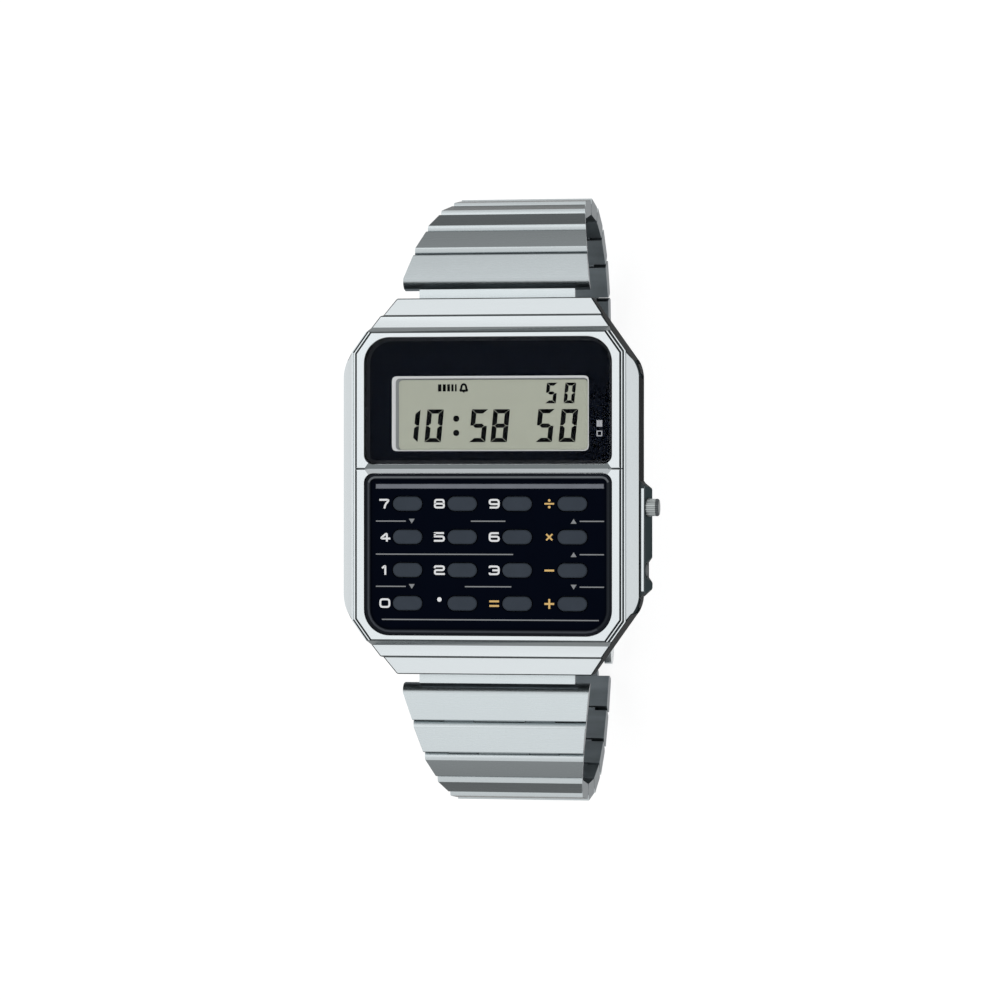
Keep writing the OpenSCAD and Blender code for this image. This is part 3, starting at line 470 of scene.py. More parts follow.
def stroke(bm, path, width, z, thick, closed=False):
    """A printed line of even width along a path."""
    count = len(path)
    rims = []
    for i, here in enumerate(path):
        arriving = (here - path[i - 1]).normalized() if closed or i else None
        leaving = (path[(i + 1) % count] - here).normalized() if closed or i < count - 1 else None
        arriving, leaving = arriving or leaving, leaving or arriving
        across = Vector((-arriving.y - leaving.y, arriving.x + leaving.x)).normalized()
        reach = width / 2 / max(SHARPEST, across.dot(Vector((-leaving.y, leaving.x))))
        left, right = here + across * reach, here - across * reach
        rims.append((bm.verts.new((left.x, left.y, z)), bm.verts.new((right.x, right.y, z))))
    faces = []
    for i in range(count if closed else count - 1):
        near, far = rims[i], rims[(i + 1) % count]
        faces.append(bm.faces.new((near[1], far[1], far[0], near[0])))
    raised(bm, faces, thick)


def segment_digit(bm, digit, x, y, height, width, line, z):
    """One seven-segment figure with mitred segments, leaning a little to the right."""
    w, h, gap, bar = width / 2, height / 2, SEGMENT_GAP, line * ACROSS_SHARE
    top = [(-w + gap, h), (w - gap, h), (w - line - gap, h - bar), (line - w + gap, h - bar)]
    side = [(w, h - gap), (w, gap), (w - line / 2, gap)]
    side += [(w - line, bar / 2 + gap), (w - line, h - bar - gap)]
    middle = [(line / 2 - w + gap, 0), (line - w + gap, bar / 2), (w - line - gap, bar / 2)]
    middle += [(-u, -v) for u, v in middle]
    outlines = {"a": top, "g": middle, "b": side}
    mirrored = (("d", "a", 1, -1), ("c", "b", 1, -1), ("f", "b", -1, 1), ("e", "b", -1, -1))
    for segment, source, flip_x, flip_y in mirrored:
        outlines[segment] = [(u * flip_x, v * flip_y) for u, v in outlines[source]]
    for segment in LIT[digit]:
        flat_shape(bm, [(x + u + v * DIGIT_SLANT, y + v) for u, v in outlines[segment]], z, INK_T)


def round_spot(bm, x, y, radius, z, thick, sides=SPOT_SIDES):
    """A small flat disc."""
    turns = [2 * pi * i / sides for i in range(sides)]
    flat_shape(bm, [(x + radius * cos(turn), y + radius * sin(turn)) for turn in turns], z, thick)


def box_spot(bm, x, y, width, height, z, thick):
    """A small flat bar, centred on x and y."""
    u, v = width / 2, height / 2
    flat_shape(bm, [(x - u, y - v), (x + u, y - v), (x + u, y + v), (x - u, y + v)], z, thick)


def lcd_segments():
    """Every dark mark that the display shows."""
    bm = bmesh.new()
    z = lcd_high.z
    for digit, x in BIG_DIGITS:
        segment_digit(bm, digit, x, BIG_ROW_Y, BIG_DIGIT_H, BIG_DIGIT_W, BIG_STROKE, z)
    for digit, x in SMALL_DIGITS:
        segment_digit(bm, digit, x, SMALL_ROW_Y, SMALL_DIGIT_H, SMALL_DIGIT_W, SMALL_STROKE, z)
    for side in (-1, 1):
        round_spot(bm, COLON_X, BIG_ROW_Y + side * COLON_UP, COLON_R, z, INK_T)
    for place, width in SIGNAL_BARS:
        box_spot(bm, place * MM, BELL_Y, width * MM, SIGNAL_H, z, INK_T)
    bell = [(-u, v) for u, v in BELL_HALF[::-1]] + BELL_HALF
    outline = [Vector((BELL_X + u * MM, BELL_Y + v * MM)) for u, v in bell]
    stroke(bm, rounded_path(outline, BELL_TURN, closed=True), BELL_LINE, z, INK_T, closed=True)
    round_spot(bm, BELL_X, BELL_Y - CLAPPER_DOWN, CLAPPER_R, z, INK_T, CLAPPER_SIDES)
    return to_mesh(bm, "lcd_segments")


def mottled(
    name, base, roughness, tone=0.12, scale=700.0, coat=0.0, specular=0.5, bump=0.05,
    fine=6000.0, change=0.06,
):
    """Moulded or printed stuff: a slow drift of tone, and a fine grain in its gloss and relief."""
    material, tree, shader = new_material(name, coat=coat, specular=specular)
    place = new_node(tree, "ShaderNodeTexCoord", -1100, 0).outputs["Object"]
    drift = new_node(
        tree, "ShaderNodeTexNoise", -900, 150, Vector=place, Scale=scale, Detail=3.0, Roughness=0.55,
    ).outputs["Fac"]
    grain = new_node(
        tree, "ShaderNodeTexNoise", -900, -200, Vector=place, Scale=fine, Detail=2.0, Roughness=0.6,
    ).outputs["Fac"]
    shade = new_node(tree, "ShaderNodeMapRange", -700, 150, Value=drift, To_Min=1 - tone, To_Max=1 + tone)
    tint = new_node(
        tree, "ShaderNodeVectorMath", -480, 150, base, operation="SCALE", Scale=shade.outputs["Result"],
    )
    gloss = new_node(
        tree, "ShaderNodeMapRange", -700, -200, Value=grain,
        To_Min=max(SMOOTHEST, roughness - change), To_Max=roughness + change,
    )
    relief = new_node(tree, "ShaderNodeBump", -480, -400, Strength=bump, Distance=GRAIN_DEPTH, Height=grain)
    wire(tree, shader, tint.outputs[0], gloss.outputs["Result"], relief.outputs["Normal"])
    return material


lcd_reflector = mottled("lcd_reflector", LCD_GREEN, 0.5, tone=0.03, specular=0.2, bump=0.02)
paint(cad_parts["lcd_panel"], lcd_reflector)
segment_ink = mottled("segment_ink", SEGMENT_INK, 0.5, specular=0.05)
add_piece("lcd_segments", lcd_segments(), "case", "lcd_glass", [segment_ink])
paint(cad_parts["lcd_connectors"], mottled("connector_strips", (0.5, 0.3, 0.22), 0.7, scale=3000.0))

# Display window: a clear plate with a rounded rim. The mask behind it is a film printed in
# midnight blue, with a polished frame of chamfered metal foil round the opening.
MASK_BLUE = (0.0050, 0.0072, 0.0135)
MASK_RIM = (0.030, 0.034, 0.042)
MASK_MARK = (0.62, 0.64, 0.68)
FOIL = (0.86, 0.88, 0.89)
FOIL_SHADE = (0.34, 0.36, 0.36)
MASK_RIM_W = 0.42 * MM
LENS_GAP, LENS_EDGE, LENS_IOR = 0.03 * MM, 0.14 * MM, 1.07
MARK_X, MARK_W, MARK_LINE = 12.78 * MM, 0.66 * MM, 0.13 * MM
FILLED_Y, FILLED_SHARE, OPEN_Y = 7.17 * MM, 1.15, 6.02 * MM
APERTURE_W, APERTURE_H, APERTURE_R = 22.7 * MM, 8.4 * MM, 0.5 * MM
FOIL_LIP, FOIL_LEFT, FOIL_TOP, FOIL_THIN = 0.1 * MM, 0.68 * MM, 0.34 * MM, 0.06 * MM
# For each ring of the frame: its share of the way in, its share of the drop, and its lip.
FOIL_RINGS = [(0, 0, FOIL_LIP), (0, 0, 0), (0.5, 0.25, 0), (1, 1, 0)]
FOIL_DARK_DOWN = 0.05 * MM

lens_low, lens_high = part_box("display_window")
mask_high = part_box("window_mask")[1]
aperture = (lcd_low + lcd_high) / 2


def window_lens():
    """The plate, lifted off the print by a hair, with its top edge rounded."""
    bm = merged("display_window")
    middle = (lens_low.z + lens_high.z) / 2
    bmesh.ops.translate(bm, vec=(0, 0, LENS_GAP), verts=[v for v in bm.verts if v.co.z < middle])
    rim = [
        edge for edge in bm.edges
        if all(v.co.z > middle for v in edge.verts) and edge.calc_face_angle(0) > SHARP_TURN
    ]
    round_edges(bm, rim, LENS_EDGE, 3)
    bmesh.ops.triangulate(bm, faces=bm.faces)
    return to_mesh(bm, "window_lens")


def mask_border():
    """A band, slightly paler than the rest of the mask, along the window's edge."""
    bm = merged("display_window")
    field = max(bm.faces, key=lambda face: face.calc_center_median().z * face.calc_area())
    bmesh.ops.delete(bm, geom=[face for face in bm.faces if face != field], context="FACES")
    bmesh.ops.translate(bm, vec=(0, 0, mask_high.z - lens_high.z), verts=bm.verts)
    field = bm.faces[:][0]
    bmesh.ops.inset_region(
        bm, faces=[field], thickness=MASK_RIM_W, use_boundary=True, use_even_offset=True,
    )
    bmesh.ops.delete(bm, geom=[field], context="FACES")
    raised(bm, bm.faces[:], INK_T)
    return to_mesh(bm, "mask_border")


def clear_pane():
    """Clear mineral glass with very faint smears in its polish."""
    material, tree, shader = new_material("window_glass")
    shader.inputs["Transmission Weight"].default_value = 1.0
    shader.inputs["IOR"].default_value = LENS_IOR
    place = new_node(tree, "ShaderNodeTexCoord", -900, 0).outputs["Object"]
    smears = new_node(
        tree, "ShaderNodeTexNoise", -700, 0, Vector=place, Scale=300.0, Detail=4.0, Roughness=0.6,
    ).outputs["Fac"]
    polish = new_node(
        tree, "ShaderNodeMapRange", -480, 0, Value=smears, From_Min=0.45, To_Min=0.0, To_Max=0.03,
    )
    tree.links.new(polish.outputs["Result"], shader.inputs["Roughness"])
    return material


def mask_marks():
    """Two small squares at the right, one filled and one open, for the two pushers."""
    bm = bmesh.new()
    z = mask_high.z
    box_spot(bm, MARK_X, FILLED_Y, MARK_W, MARK_W * FILLED_SHARE, z, INK_T)
    half = (MARK_W - MARK_LINE) / 2
    corners = ((-1, -1), (1, -1), (1, 1), (-1, 1))
    square = [Vector((MARK_X + u * half, OPEN_Y + v * half)) for u, v in corners]
    stroke(bm, square, MARK_LINE, z, INK_T, closed=True)
    return to_mesh(bm, "mask_marks")


def foil_frame():
    """The polished frame: a flat lip on the print, then two slopes down to the display."""
    left, right = aperture.x - APERTURE_W / 2, aperture.x + APERTURE_W / 2
    low, high = aperture.y - APERTURE_H / 2, aperture.y + APERTURE_H / 2
    drop = mask_high.z - lcd_high.z - 2 * INK_T
    bm = bmesh.new()
    rings = []
    for share, sink, lip in FOIL_RINGS:
        z = mask_high.z + INK_T - sink * drop
        corners = [
            (left + FOIL_LEFT * share - lip, low + FOIL_THIN * share - lip),
            (right - FOIL_THIN * share + lip, low + FOIL_THIN * share - lip),
            (right - FOIL_THIN * share + lip, high - FOIL_TOP * share + lip),
            (left + FOIL_LEFT * share - lip, high - FOIL_TOP * share + lip),
        ]
        path = rounded_path(corners, APERTURE_R + lip, closed=True)
        rings.append([bm.verts.new((p.x, p.y, z)) for p in path])
    base = [bm.verts.new((v.co.x, v.co.y, mask_high.z)) for v in rings[0]]
    under = [bm.verts.new((v.co.x, v.co.y, v.co.z - INK_T)) for v in rings[-1]]
    inner = [bm.verts.new((v.co.x, v.co.y, mask_high.z)) for v in rings[1]]
    loops = [base] + rings + [under, inner]
    for near, far in zip(loops, loops[1:] + loops[:1]):
        for i in range(len(near)):
            j = (i + 1) % len(near)
            bm.faces.new((near[i], near[j], far[j], far[i]))
    return to_mesh(bm, "foil_frame")


def foil_zone(middle, normal):
    """Shaded on the steep slope at the left and top, bright elsewhere."""
    slope = middle.z < mask_high.z - FOIL_DARK_DOWN and normal.z > 0
    return 1 if slope and (normal.x > UPWARD or normal.y < -UPWARD) else 0


add_piece("window_lens", window_lens(), "case", "window_clear", [clear_pane()], "display_window")
paint(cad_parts["window_mask"], mottled("mask_print", MASK_BLUE, 0.25, specular=0.01, bump=0.01))
mask_border_tone = mottled("mask_border_tone", MASK_RIM, 0.3, specular=0.1, bump=0.01)
add_piece("mask_border", mask_border(), "case", "mask_print", [mask_border_tone])
add_piece("mask_marks", mask_marks(), "case", "mask_print", [mottled("mark_ink", MASK_MARK, 0.6)])
foil_tones = [
    brushed_metal("foil_bright", FOIL, 0.3, tone=0.03),
    brushed_metal("foil_shade", FOIL_SHADE, 0.35, tone=0.03),
]
add_piece("foil_frame", by_zone(foil_frame(), foil_zone), "case", "case_chrome", foil_tones)

# Keypad panel: black satin resin with a raised gloss border, printed in white and gold
# beside each key. The keys are soft grey resin caps that come up through it.
PANEL_BLACK = (0.0008, 0.0018, 0.0055)
BORDER_GREY = (0.004, 0.006, 0.010)
# Painted highlight: the glint round the middle of the raised border, paler at the top, darker at the right.
BORDER_PAINTED_HIGHLIGHT = [(0.040, 0.045, 0.055), (0.11, 0.12, 0.13), (0.010, 0.013, 0.018)]
STRIPE_GREY = (0.135, 0.145, 0.17)
KEY_GREY = (0.031, 0.040, 0.054)
INK_WHITE = (0.70, 0.71, 0.72)
INK_GOLD = (0.62, 0.40, 0.13)
INK_GREY = (0.20, 0.21, 0.22)
PANEL_SINK, PANEL_EDGE, BORDER_PLAY = 0.25 * MM, 0.05 * MM, 0.06 * MM
GLINT_IN, GLINT_LINE, GLINT_STEPS = 0.42 * MM, 0.22 * MM, 6
GLINT_SHARP, GLINT_ROUND = 0.8 * MM, 2.6 * MM
GLINT_TOP, GLINT_SIDE = 0.5 * MM, 1.5 * MM
LABEL_BACK = 2.66 * MM
LABEL_W, LABEL_H, LABEL_LINE, LABEL_TURN = 1.28 * MM, 1.1 * MM, 0.22 * MM, 0.3 * MM
POINT_UP, POINT_R = 0.45 * MM, 0.26 * MM
SIGN_W, SIGN_T = 1.12 * MM, 0.22 * MM
EQUALS_UP, DIVIDE_UP, DIVIDE_R, DIVIDE_SHARE = 0.26 * MM, 0.38 * MM, 0.15 * MM, 0.85
TIMES_ARM, TIMES_SHARE = 0.5 * MM, 0.42
STRIPE_LEFT, STRIPE_RIGHT, STRIPE_W = -13.1 * MM, 13.4 * MM, 0.55 * MM
STRIPE_T, STRIPE_EDGE, STRIPE_MIDDLE = 0.12 * MM, 0.1 * MM, 0.05 * MM
HAIRLINE = 0.13 * MM
ARROW_HALF, ARROW_SHARE = 0.34 * MM, 0.8
# Millimetres: each line's place, its stretches (None is the stripe's end), and its arrowheads
# with 1 for one that points up.
LINES = [
    (-4.0, [(None, -9.6), (-2.0, 2.0), (10.6, None)], [(-8.9, -1), (9.9, 1)]),
    (-7.8, [(None, 2.9), (10.6, None)], [(9.9, 1)]),
    (-11.5, [(None, -9.6), (-2.7, 2.7), (10.6, None)], [(-8.9, -1), (9.9, -1)]),
    (-15.3, [(-12.4, 12.8)], []),
]

panel_low, panel_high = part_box("keypad_panel")
field_z = panel_high.z - PANEL_SINK


def key_middle(node):
    """The middle of a key, seen from above."""
    low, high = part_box(node)
    return (low.x + high.x) / 2, (low.y + high.y) / 2


def key_figure(bm, figure, x, y):
    """One wide, square-shouldered figure, drawn in strokes; True marks a closed one."""
    w, h, s = (LABEL_W - LABEL_LINE) / 2, (LABEL_H - LABEL_LINE) / 2, LABEL_LINE / 2
    frames = {
        "0": [([(-w, -h), (w, -h), (w, h), (-w, h)], True)],
        "1": [([(-0.6 * w, 0.45 * h), (-0.1 * w, h), (0.1 * w, h), (0.1 * w, -h - s)], False)],
        "2": [([(-w, 0.5 * h), (-w, h), (w, h), (w, 0), (-w, 0), (-w, -h), (w + s, -h)], False)],
        "3": [
            ([(-w, 0.6 * h), (-w, h), (w, h), (w, -h), (-w, -h), (-w, -0.6 * h)], False),
            ([(-0.4 * w, 0), (w - s, 0)], False),
        ],
        "4": [
            ([(w + s, -0.45 * h), (-w, -0.45 * h), (0.45 * w, h), (0.45 * w, s - 0.45 * h)], False),
            ([(0.45 * w, -0.45 * h - s), (0.45 * w, -h - s)], False),
        ],
        "5": [
            ([(w, h), (-w - s, h)], False), ([(-w, h), (-w, s)], False),
            ([(-w - s, 0.12 * h), (w, 0.12 * h), (w, -h), (-w - s, -h)], False),
        ],
        "6": [([(w, h), (-w, h), (-w, -h), (w, -h), (w, 0.1 * h), (s - w, 0.1 * h)], False)],
        "7": [([(-w - s, h), (w, h), (0.1 * w, -0.2 * h), (-0.1 * w, -h - s)], False)],
        "8": [
            ([(-w, 0), (w, 0), (w, -h), (-w, -h)], True),
            ([(-0.95 * w, 0), (-0.95 * w, h), (0.95 * w, h), (0.95 * w, 0)], False),
        ],
        "9": [([(-w, -h), (w, -h), (w, h), (-w, h), (-w, -0.1 * h), (w - s, -0.1 * h)], False)],
    }
    for points, closed in frames[figure]:
        path = [Vector((x, y)) + point for point in rounded_path(points, LABEL_TURN, closed)]
        stroke(bm, path, LABEL_LINE, field_z, INK_T, closed)


def white_labels():
    """The figures and the point, left of their keys."""
    bm = bmesh.new()
    for figure in "0123456789":
        x, y = key_middle("key_" + figure)
        key_figure(bm, figure, x - LABEL_BACK, y)
    x, y = key_middle("key_point")
    round_spot(bm, x - LABEL_BACK, y + POINT_UP, POINT_R, field_z, INK_T)
    return to_mesh(bm, "white_labels")


def gold_labels():
    """The signs of the five arithmetic keys."""
    bm = bmesh.new()
    z, arm = field_z, SIGN_W / 2
    x, y = key_middle("key_plus")
    box_spot(bm, x - LABEL_BACK, y, SIGN_W, SIGN_T, z, INK_T)
    for side in (-1, 1):
        box_spot(bm, x - LABEL_BACK, y + side * (arm + SIGN_T / 2) / 2, SIGN_T, arm - SIGN_T / 2, z, INK_T)
    x, y = key_middle("key_minus")
    box_spot(bm, x - LABEL_BACK, y, SIGN_W, SIGN_T, z, INK_T)
    x, y = key_middle("key_equals")
    for side in (-1, 1):
        box_spot(bm, x - LABEL_BACK, y + side * EQUALS_UP, SIGN_W, SIGN_T, z, INK_T)
    x, y = key_middle("key_divide")
    box_spot(bm, x - LABEL_BACK, y, SIGN_W, SIGN_T * DIVIDE_SHARE, z, INK_T)
    for side in (-1, 1):
        round_spot(bm, x - LABEL_BACK, y + side * DIVIDE_UP, DIVIDE_R, z, INK_T)
    x, y = key_middle("key_times")
    half = SIGN_T * TIMES_SHARE
    outline = []
    for quarter in range(4):
        c, d = cos(quarter * pi / 2 + pi / 4), sin(quarter * pi / 2 + pi / 4)
        for u, v in ((TIMES_ARM, -half), (TIMES_ARM, half), (half, half)):
            outline.append((x - LABEL_BACK + u * c - v * d, y + u * d + v * c))
    flat_shape(bm, outline, z, INK_T)
    return to_mesh(bm, "gold_labels")


def panel_lines():
    """Hairlines between the rows of keys, broken where small arrowheads sit."""
    bm = bmesh.new()
    for place, stretches, arrows in LINES:
        y = place * MM
        for start, end in stretches:
            left = STRIPE_LEFT if start is None else start * MM
            right = STRIPE_RIGHT if end is None else end * MM
            box_spot(bm, (left + right) / 2, y, right - left, HAIRLINE, field_z, INK_T)
        for middle, up in arrows:
            x, rise = middle * MM, up * ARROW_HALF * ARROW_SHARE
            arrow = [(x - ARROW_HALF, y - rise), (x + ARROW_HALF, y - rise), (x, y + rise)]
            flat_shape(bm, arrow, field_z, INK_T)
    return to_mesh(bm, "panel_lines")


def top_stripe():
    """The light rib along the top of the key field."""
    bm = bmesh.new()
    middle, length = (STRIPE_LEFT + STRIPE_RIGHT) / 2, STRIPE_RIGHT - STRIPE_LEFT
    box_spot(bm, middle, 0.0, length, STRIPE_W, field_z, STRIPE_T)
    edges = [edge for edge in bm.edges if all(v.co.z > field_z + STRIPE_MIDDLE for v in edge.verts)]
    round_edges(bm, edges, STRIPE_EDGE, 3)
    return to_mesh(bm, "top_stripe")


def painted_border_highlight():
    """A painted highlight: a thin band for the soft shine round the middle of the raised border, paler at
    the top and darker at the right.
    """
    left, right = panel_low.x + GLINT_IN, panel_high.x - GLINT_IN
    low, high = panel_low.y + GLINT_IN, panel_high.y - GLINT_IN
    path = []
    corners = [
        (right, low, GLINT_ROUND), (right, high, GLINT_SHARP),
        (left, high, GLINT_SHARP), (left, low, GLINT_ROUND),
    ]
    for quarter, (x, y, reach) in enumerate(corners):
        middle = Vector((x - reach if x > 0 else x + reach, y + reach if y == low else y - reach))
        for step in range(GLINT_STEPS + 1):
            turn = radians(90 * (quarter - 1) + 90 * step / GLINT_STEPS)
            path.append(middle + reach * Vector((cos(turn), sin(turn))))
    bm = bmesh.new()
    stroke(bm, path, GLINT_LINE, panel_high.z, INK_T, closed=True)

    def zone(place, normal):
        if place.y > high - GLINT_TOP:
            return 1
        return 2 if place.x > right - GLINT_SIDE else 0

    return by_zone(to_mesh(bm, "painted_border_highlight"), zone)


def panel_zone(middle, normal):
    """The raised border is a shade paler than the field."""
    return 1 if middle.z > panel_high.z - BORDER_PLAY and normal.z > UPWARD else 0


panel_black = mottled("panel_resin", PANEL_BLACK, 0.3, specular=0.01, bump=0.02)
border_grey = mottled("panel_border", BORDER_GREY, 0.25, specular=0.08, bump=0.02)
panel_mesh = by_zone(softened("keypad_panel", PANEL_EDGE), panel_zone)
add_piece("panel_moulded", panel_mesh, "case", "panel_black", [panel_black, border_grey], "keypad_panel")
# Painted highlight round the border, in three tones.
painted_glints = [mottled(f"painted_border_highlight_{i}", tone, 0.4, specular=0.1) for i, tone in enumerate(BORDER_PAINTED_HIGHLIGHT)]
add_piece("painted_border_highlight", painted_border_highlight(), "case", "panel_black", painted_glints)
key_resin = mottled("key_resin", KEY_GREY, 0.55, specular=0.12, bump=0.08)
for name in [*"0123456789", "point", "equals", "plus", "minus", "times", "divide"]:
    paint(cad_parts["key_" + name], key_resin)
for name, mesh, look in (
    ("white_labels", white_labels(), mottled("ink_white", INK_WHITE, 0.6, tone=0.05)),
    ("gold_labels", gold_labels(), mottled("ink_gold", INK_GOLD, 0.5, tone=0.08)),
    ("panel_lines", panel_lines(), mottled("ink_grey", INK_GREY, 0.6, tone=0.08)),
    ("top_stripe", top_stripe(), mottled("stripe_grey", STRIPE_GREY, 0.4, specular=0.2)),
):
    add_piece(name, mesh, "case", "panel_black", [look])

# Module: a white resin frame that holds the display, the green board with its parts, the sheet
# of steel domes under the keys, and the cell with its strap. The back closes over it.
PART_EDGE = 0.12 * MM
BLOB_END, COIL_START, CRYSTAL_START = -2.5 * MM, 4.5 * MM, 13 * MM
MODULE_LOOKS = {
    "module_frame": mottled("frame_resin", (0.72, 0.73, 0.72), 0.5),
    "circuit_board": mottled("solder_mask", (0.02, 0.12, 0.05), 0.35, coat=0.3),
    "dome_sheet": brushed_metal("dome_steel", (0.62, 0.64, 0.62), 0.3),
    "battery": brushed_metal("cell_steel", (0.66, 0.67, 0.68), 0.25),
    "battery_strap": brushed_metal("strap_steel", (0.6, 0.6, 0.57), 0.3),
    "piezo_disc": brushed_metal("piezo_brass", (0.7, 0.5, 0.22), 0.3),
    "back_gasket": mottled("gasket_rubber", (0.015, 0.015, 0.016), 0.7),
}
for node, look in MODULE_LOOKS.items():
    paint(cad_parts[node], look)


def part_zone(middle, normal):
    """The number of a board part by its place: chip's blob, wound coil, crystal can or capacitor."""
    if middle.x < BLOB_END:
        return 0
    if middle.y > CRYSTAL_START:
        return 2
    return 1 if middle.x > COIL_START else 3


board_looks = [
    mottled("chip_blob", (0.012, 0.012, 0.013), 0.35, scale=900.0),
    brushed_metal("coil_wire", (0.62, 0.27, 0.12), 0.3, tone=0.5, along=9000.0, across=9000.0, bump=0.2),
    brushed_metal("crystal_can", (0.62, 0.63, 0.65), 0.2),
    mottled("capacitor_clay", (0.42, 0.27, 0.16), 0.5),
]
board_mesh = by_zone(softened("board_components", PART_EDGE), part_zone)
add_piece("board_parts", board_mesh, "case", "component_black", board_looks, "board_components")

# Back cover: stamped steel plate with a raised pad, brushed across, held by four slotted
# screws turned from bar.
BACK_EDGE, SCREW_EDGE = 0.08 * MM, 0.05 * MM

back_steel = brushed_metal("back_steel", (0.60, 0.62, 0.63), 0.32, tone=0.1)
add_piece("back_plate", softened("back_cover", BACK_EDGE), "case", "back_steel", [back_steel], "back_cover")
screw_steel = brushed_metal("screw_steel", (0.5, 0.51, 0.53), 0.25)
add_piece("screws", softened("back_screws", SCREW_EDGE), "case", "screw_steel", [screw_steel], "back_screws")

# Pushers: turned steel heads with a domed rim, each on a stem with a clip and a small coil
# spring behind the head, wound from music wire.
PUSHER_EDGE, MODE_RIM, ADJUST_RIM = 0.06 * MM, 0.4 * MM, 0.05 * MM
END_FACE = 0.98
WIRE_R, WIRE_SIDES = 0.085 * MM, 10
COIL_TURNS, COIL_STEPS = 2.75, 24


def coil(node):
    """A helix in the space of the spring's node, wound along X, with closed wire ends."""
    low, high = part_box(node)
    mid_y, mid_z, radius = (low.y + high.y) / 2, (low.z + high.z) / 2, (high.z - low.z) / 2 - WIRE_R
    start, run = low.x + WIRE_R, high.x - low.x - 2 * WIRE_R
    count = int(COIL_TURNS * COIL_STEPS)
    pace = 2 * pi / COIL_STEPS
    turns = [2 * pi * k / WIRE_SIDES for k in range(WIRE_SIDES)]
    bm = bmesh.new()
    rings = []
    for i in range(count + 1):
        out = Vector((0, cos(pace * i), sin(pace * i)))
        middle = Vector((start + run * i / count, mid_y, mid_z)) + out * radius
        along = Vector((run / count, -out.z * radius * pace, out.y * radius * pace)).normalized()
        beside = along.cross(out)
        spokes = [cos(turn) * out + sin(turn) * beside for turn in turns]
        rings.append([bm.verts.new(middle + WIRE_R * spoke) for spoke in spokes])
    for near, far in zip(rings, rings[1:]):
        for k in range(WIRE_SIDES):
            onward = (k + 1) % WIRE_SIDES
            bm.faces.new((near[k], near[onward], far[onward], far[k]))
    bm.faces.new(rings[0])
    bm.faces.new(rings[-1][::-1])
    return to_mesh(bm, node + "_coil")


pusher_steel = brushed_metal("pusher_steel", (0.40, 0.43, 0.43), 0.3, edge=0.5)
# Painted shade: a dark copy of the steel for the side of each head's domed rim, and a darker copy than the
# mode pusher's for the adjust pusher.
pusher_edge = brushed_metal("pusher_edge", (0.10, 0.11, 0.115), 0.35, edge=0.3)
adjust_steel_shade = brushed_metal("adjust_steel_shade", (0.14, 0.15, 0.155), 0.35, edge=0.4)
for name, look, rim in (
    ("mode_pusher", pusher_steel, MODE_RIM), ("adjust_pusher", adjust_steel_shade, ADJUST_RIM),
):
    rim_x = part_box(name)[1].x - rim
    mesh = softened(name, PUSHER_EDGE, cuts=[(sideways * rim_x, sideways, lambda middle: True)])
    # Painted shade on the side of the head's rim.
    by_zone(mesh, lambda middle, normal: 1 if middle.x > rim_x and normal.x < END_FACE else 0)
    add_piece(name + "_steel", mesh, name, "pusher_steel", [look, pusher_edge], name)
spring_steel = brushed_metal("spring_steel", (0.6, 0.6, 0.62), 0.25)
for name, joint, keep in (("mode_spring", "mode_press", 0.4545), ("adjust_spring", "adjust_press", 0.5)):
    spring = add_piece(name + "_coil", coil(name), "case", "spring_steel", [spring_steel], name)
    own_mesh(spring)
paint(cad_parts["spring_bars"], brushed_metal("bar_steel", (0.5, 0.52, 0.53), 0.3))

# Band: folded links of stainless steel, brushed along X, each with a bevelled near edge and a
# steel pin. Their bevels, sheared side edges and inner faces get painted shade, and their
# outer faces painted shade as they turn away from the eye.
LINK_STEEL = (0.67, 0.73, 0.75)
LINK_BEVEL_SHADE = (0.52, 0.565, 0.58)
# Painted shade: darker copies of the link steel for the bevels, the sides and the inner faces, the inner
# ones in soft stripes, and a fade for outer faces turned from the eye.
LINK_SIDE_SHADE = (0.27, 0.295, 0.31)
LINK_INNER_SHADE = (0.19, 0.215, 0.23)
LINK_FACING_SHADE = ((0.0, 1.0), (0.3, 1.0), (0.47, 0.46), (0.635, 0.175), (0.8, 0.3), (1.0, 0.3))
LINK_EDGE, BEVEL_DOWN = 0.09 * MM, 0.8 * MM
END_ROUND, END_LONG, END_SEGMENTS = 0.45 * MM, 8 * MM, 4
# How far two directions agree: 1 is the same way, 0 is square on.
STRAIGHT, LEVEL, FACE_ON, PART_ON, SQUARE_ON = 0.99, 0.97, 0.4, 0.2, 0.3
EVEN, SIDE_ON = 0.1, 0.9

link_looks = [
    brushed_metal(
        "link_steel", LINK_STEEL, 0.27, spread=0.1, tone=0.08, bump=0.03, edge=0.4, facing_shade=LINK_FACING_SHADE,
    ),
    brushed_metal("link_bevel_shade", LINK_BEVEL_SHADE, 0.25, spread=0.1, tone=0.06, bump=0.02, edge=0.5),
    brushed_metal("link_side_shade", LINK_SIDE_SHADE, 0.35, spread=0.1, tone=0.2, bump=0.03, edge=0.6),
    brushed_metal("link_inner_shade", LINK_INNER_SHADE, 0.35, spread=0.1, tone=1.3, across=480.0, bump=0.01, edge=0.3),
]


def rounded_ends(bm, outward):
    """Rounds the long edge of each end of a link, where its outer face turns down."""
    edges = []
    for edge in bm.edges:
        along = (edge.verts[1].co - edge.verts[0].co).normalized()
        if abs(along.x) > STRAIGHT and edge.calc_length() > END_LONG and edge.is_manifold and edge.is_convex:
            leans = sorted(face.normal.dot(outward) for face in edge.link_faces)
            if abs(leans[0]) < SQUARE_ON and leans[1] > FACE_ON:
                edges.append(edge)
    round_edges(bm, edges, END_ROUND, END_SEGMENTS, clamp=True)


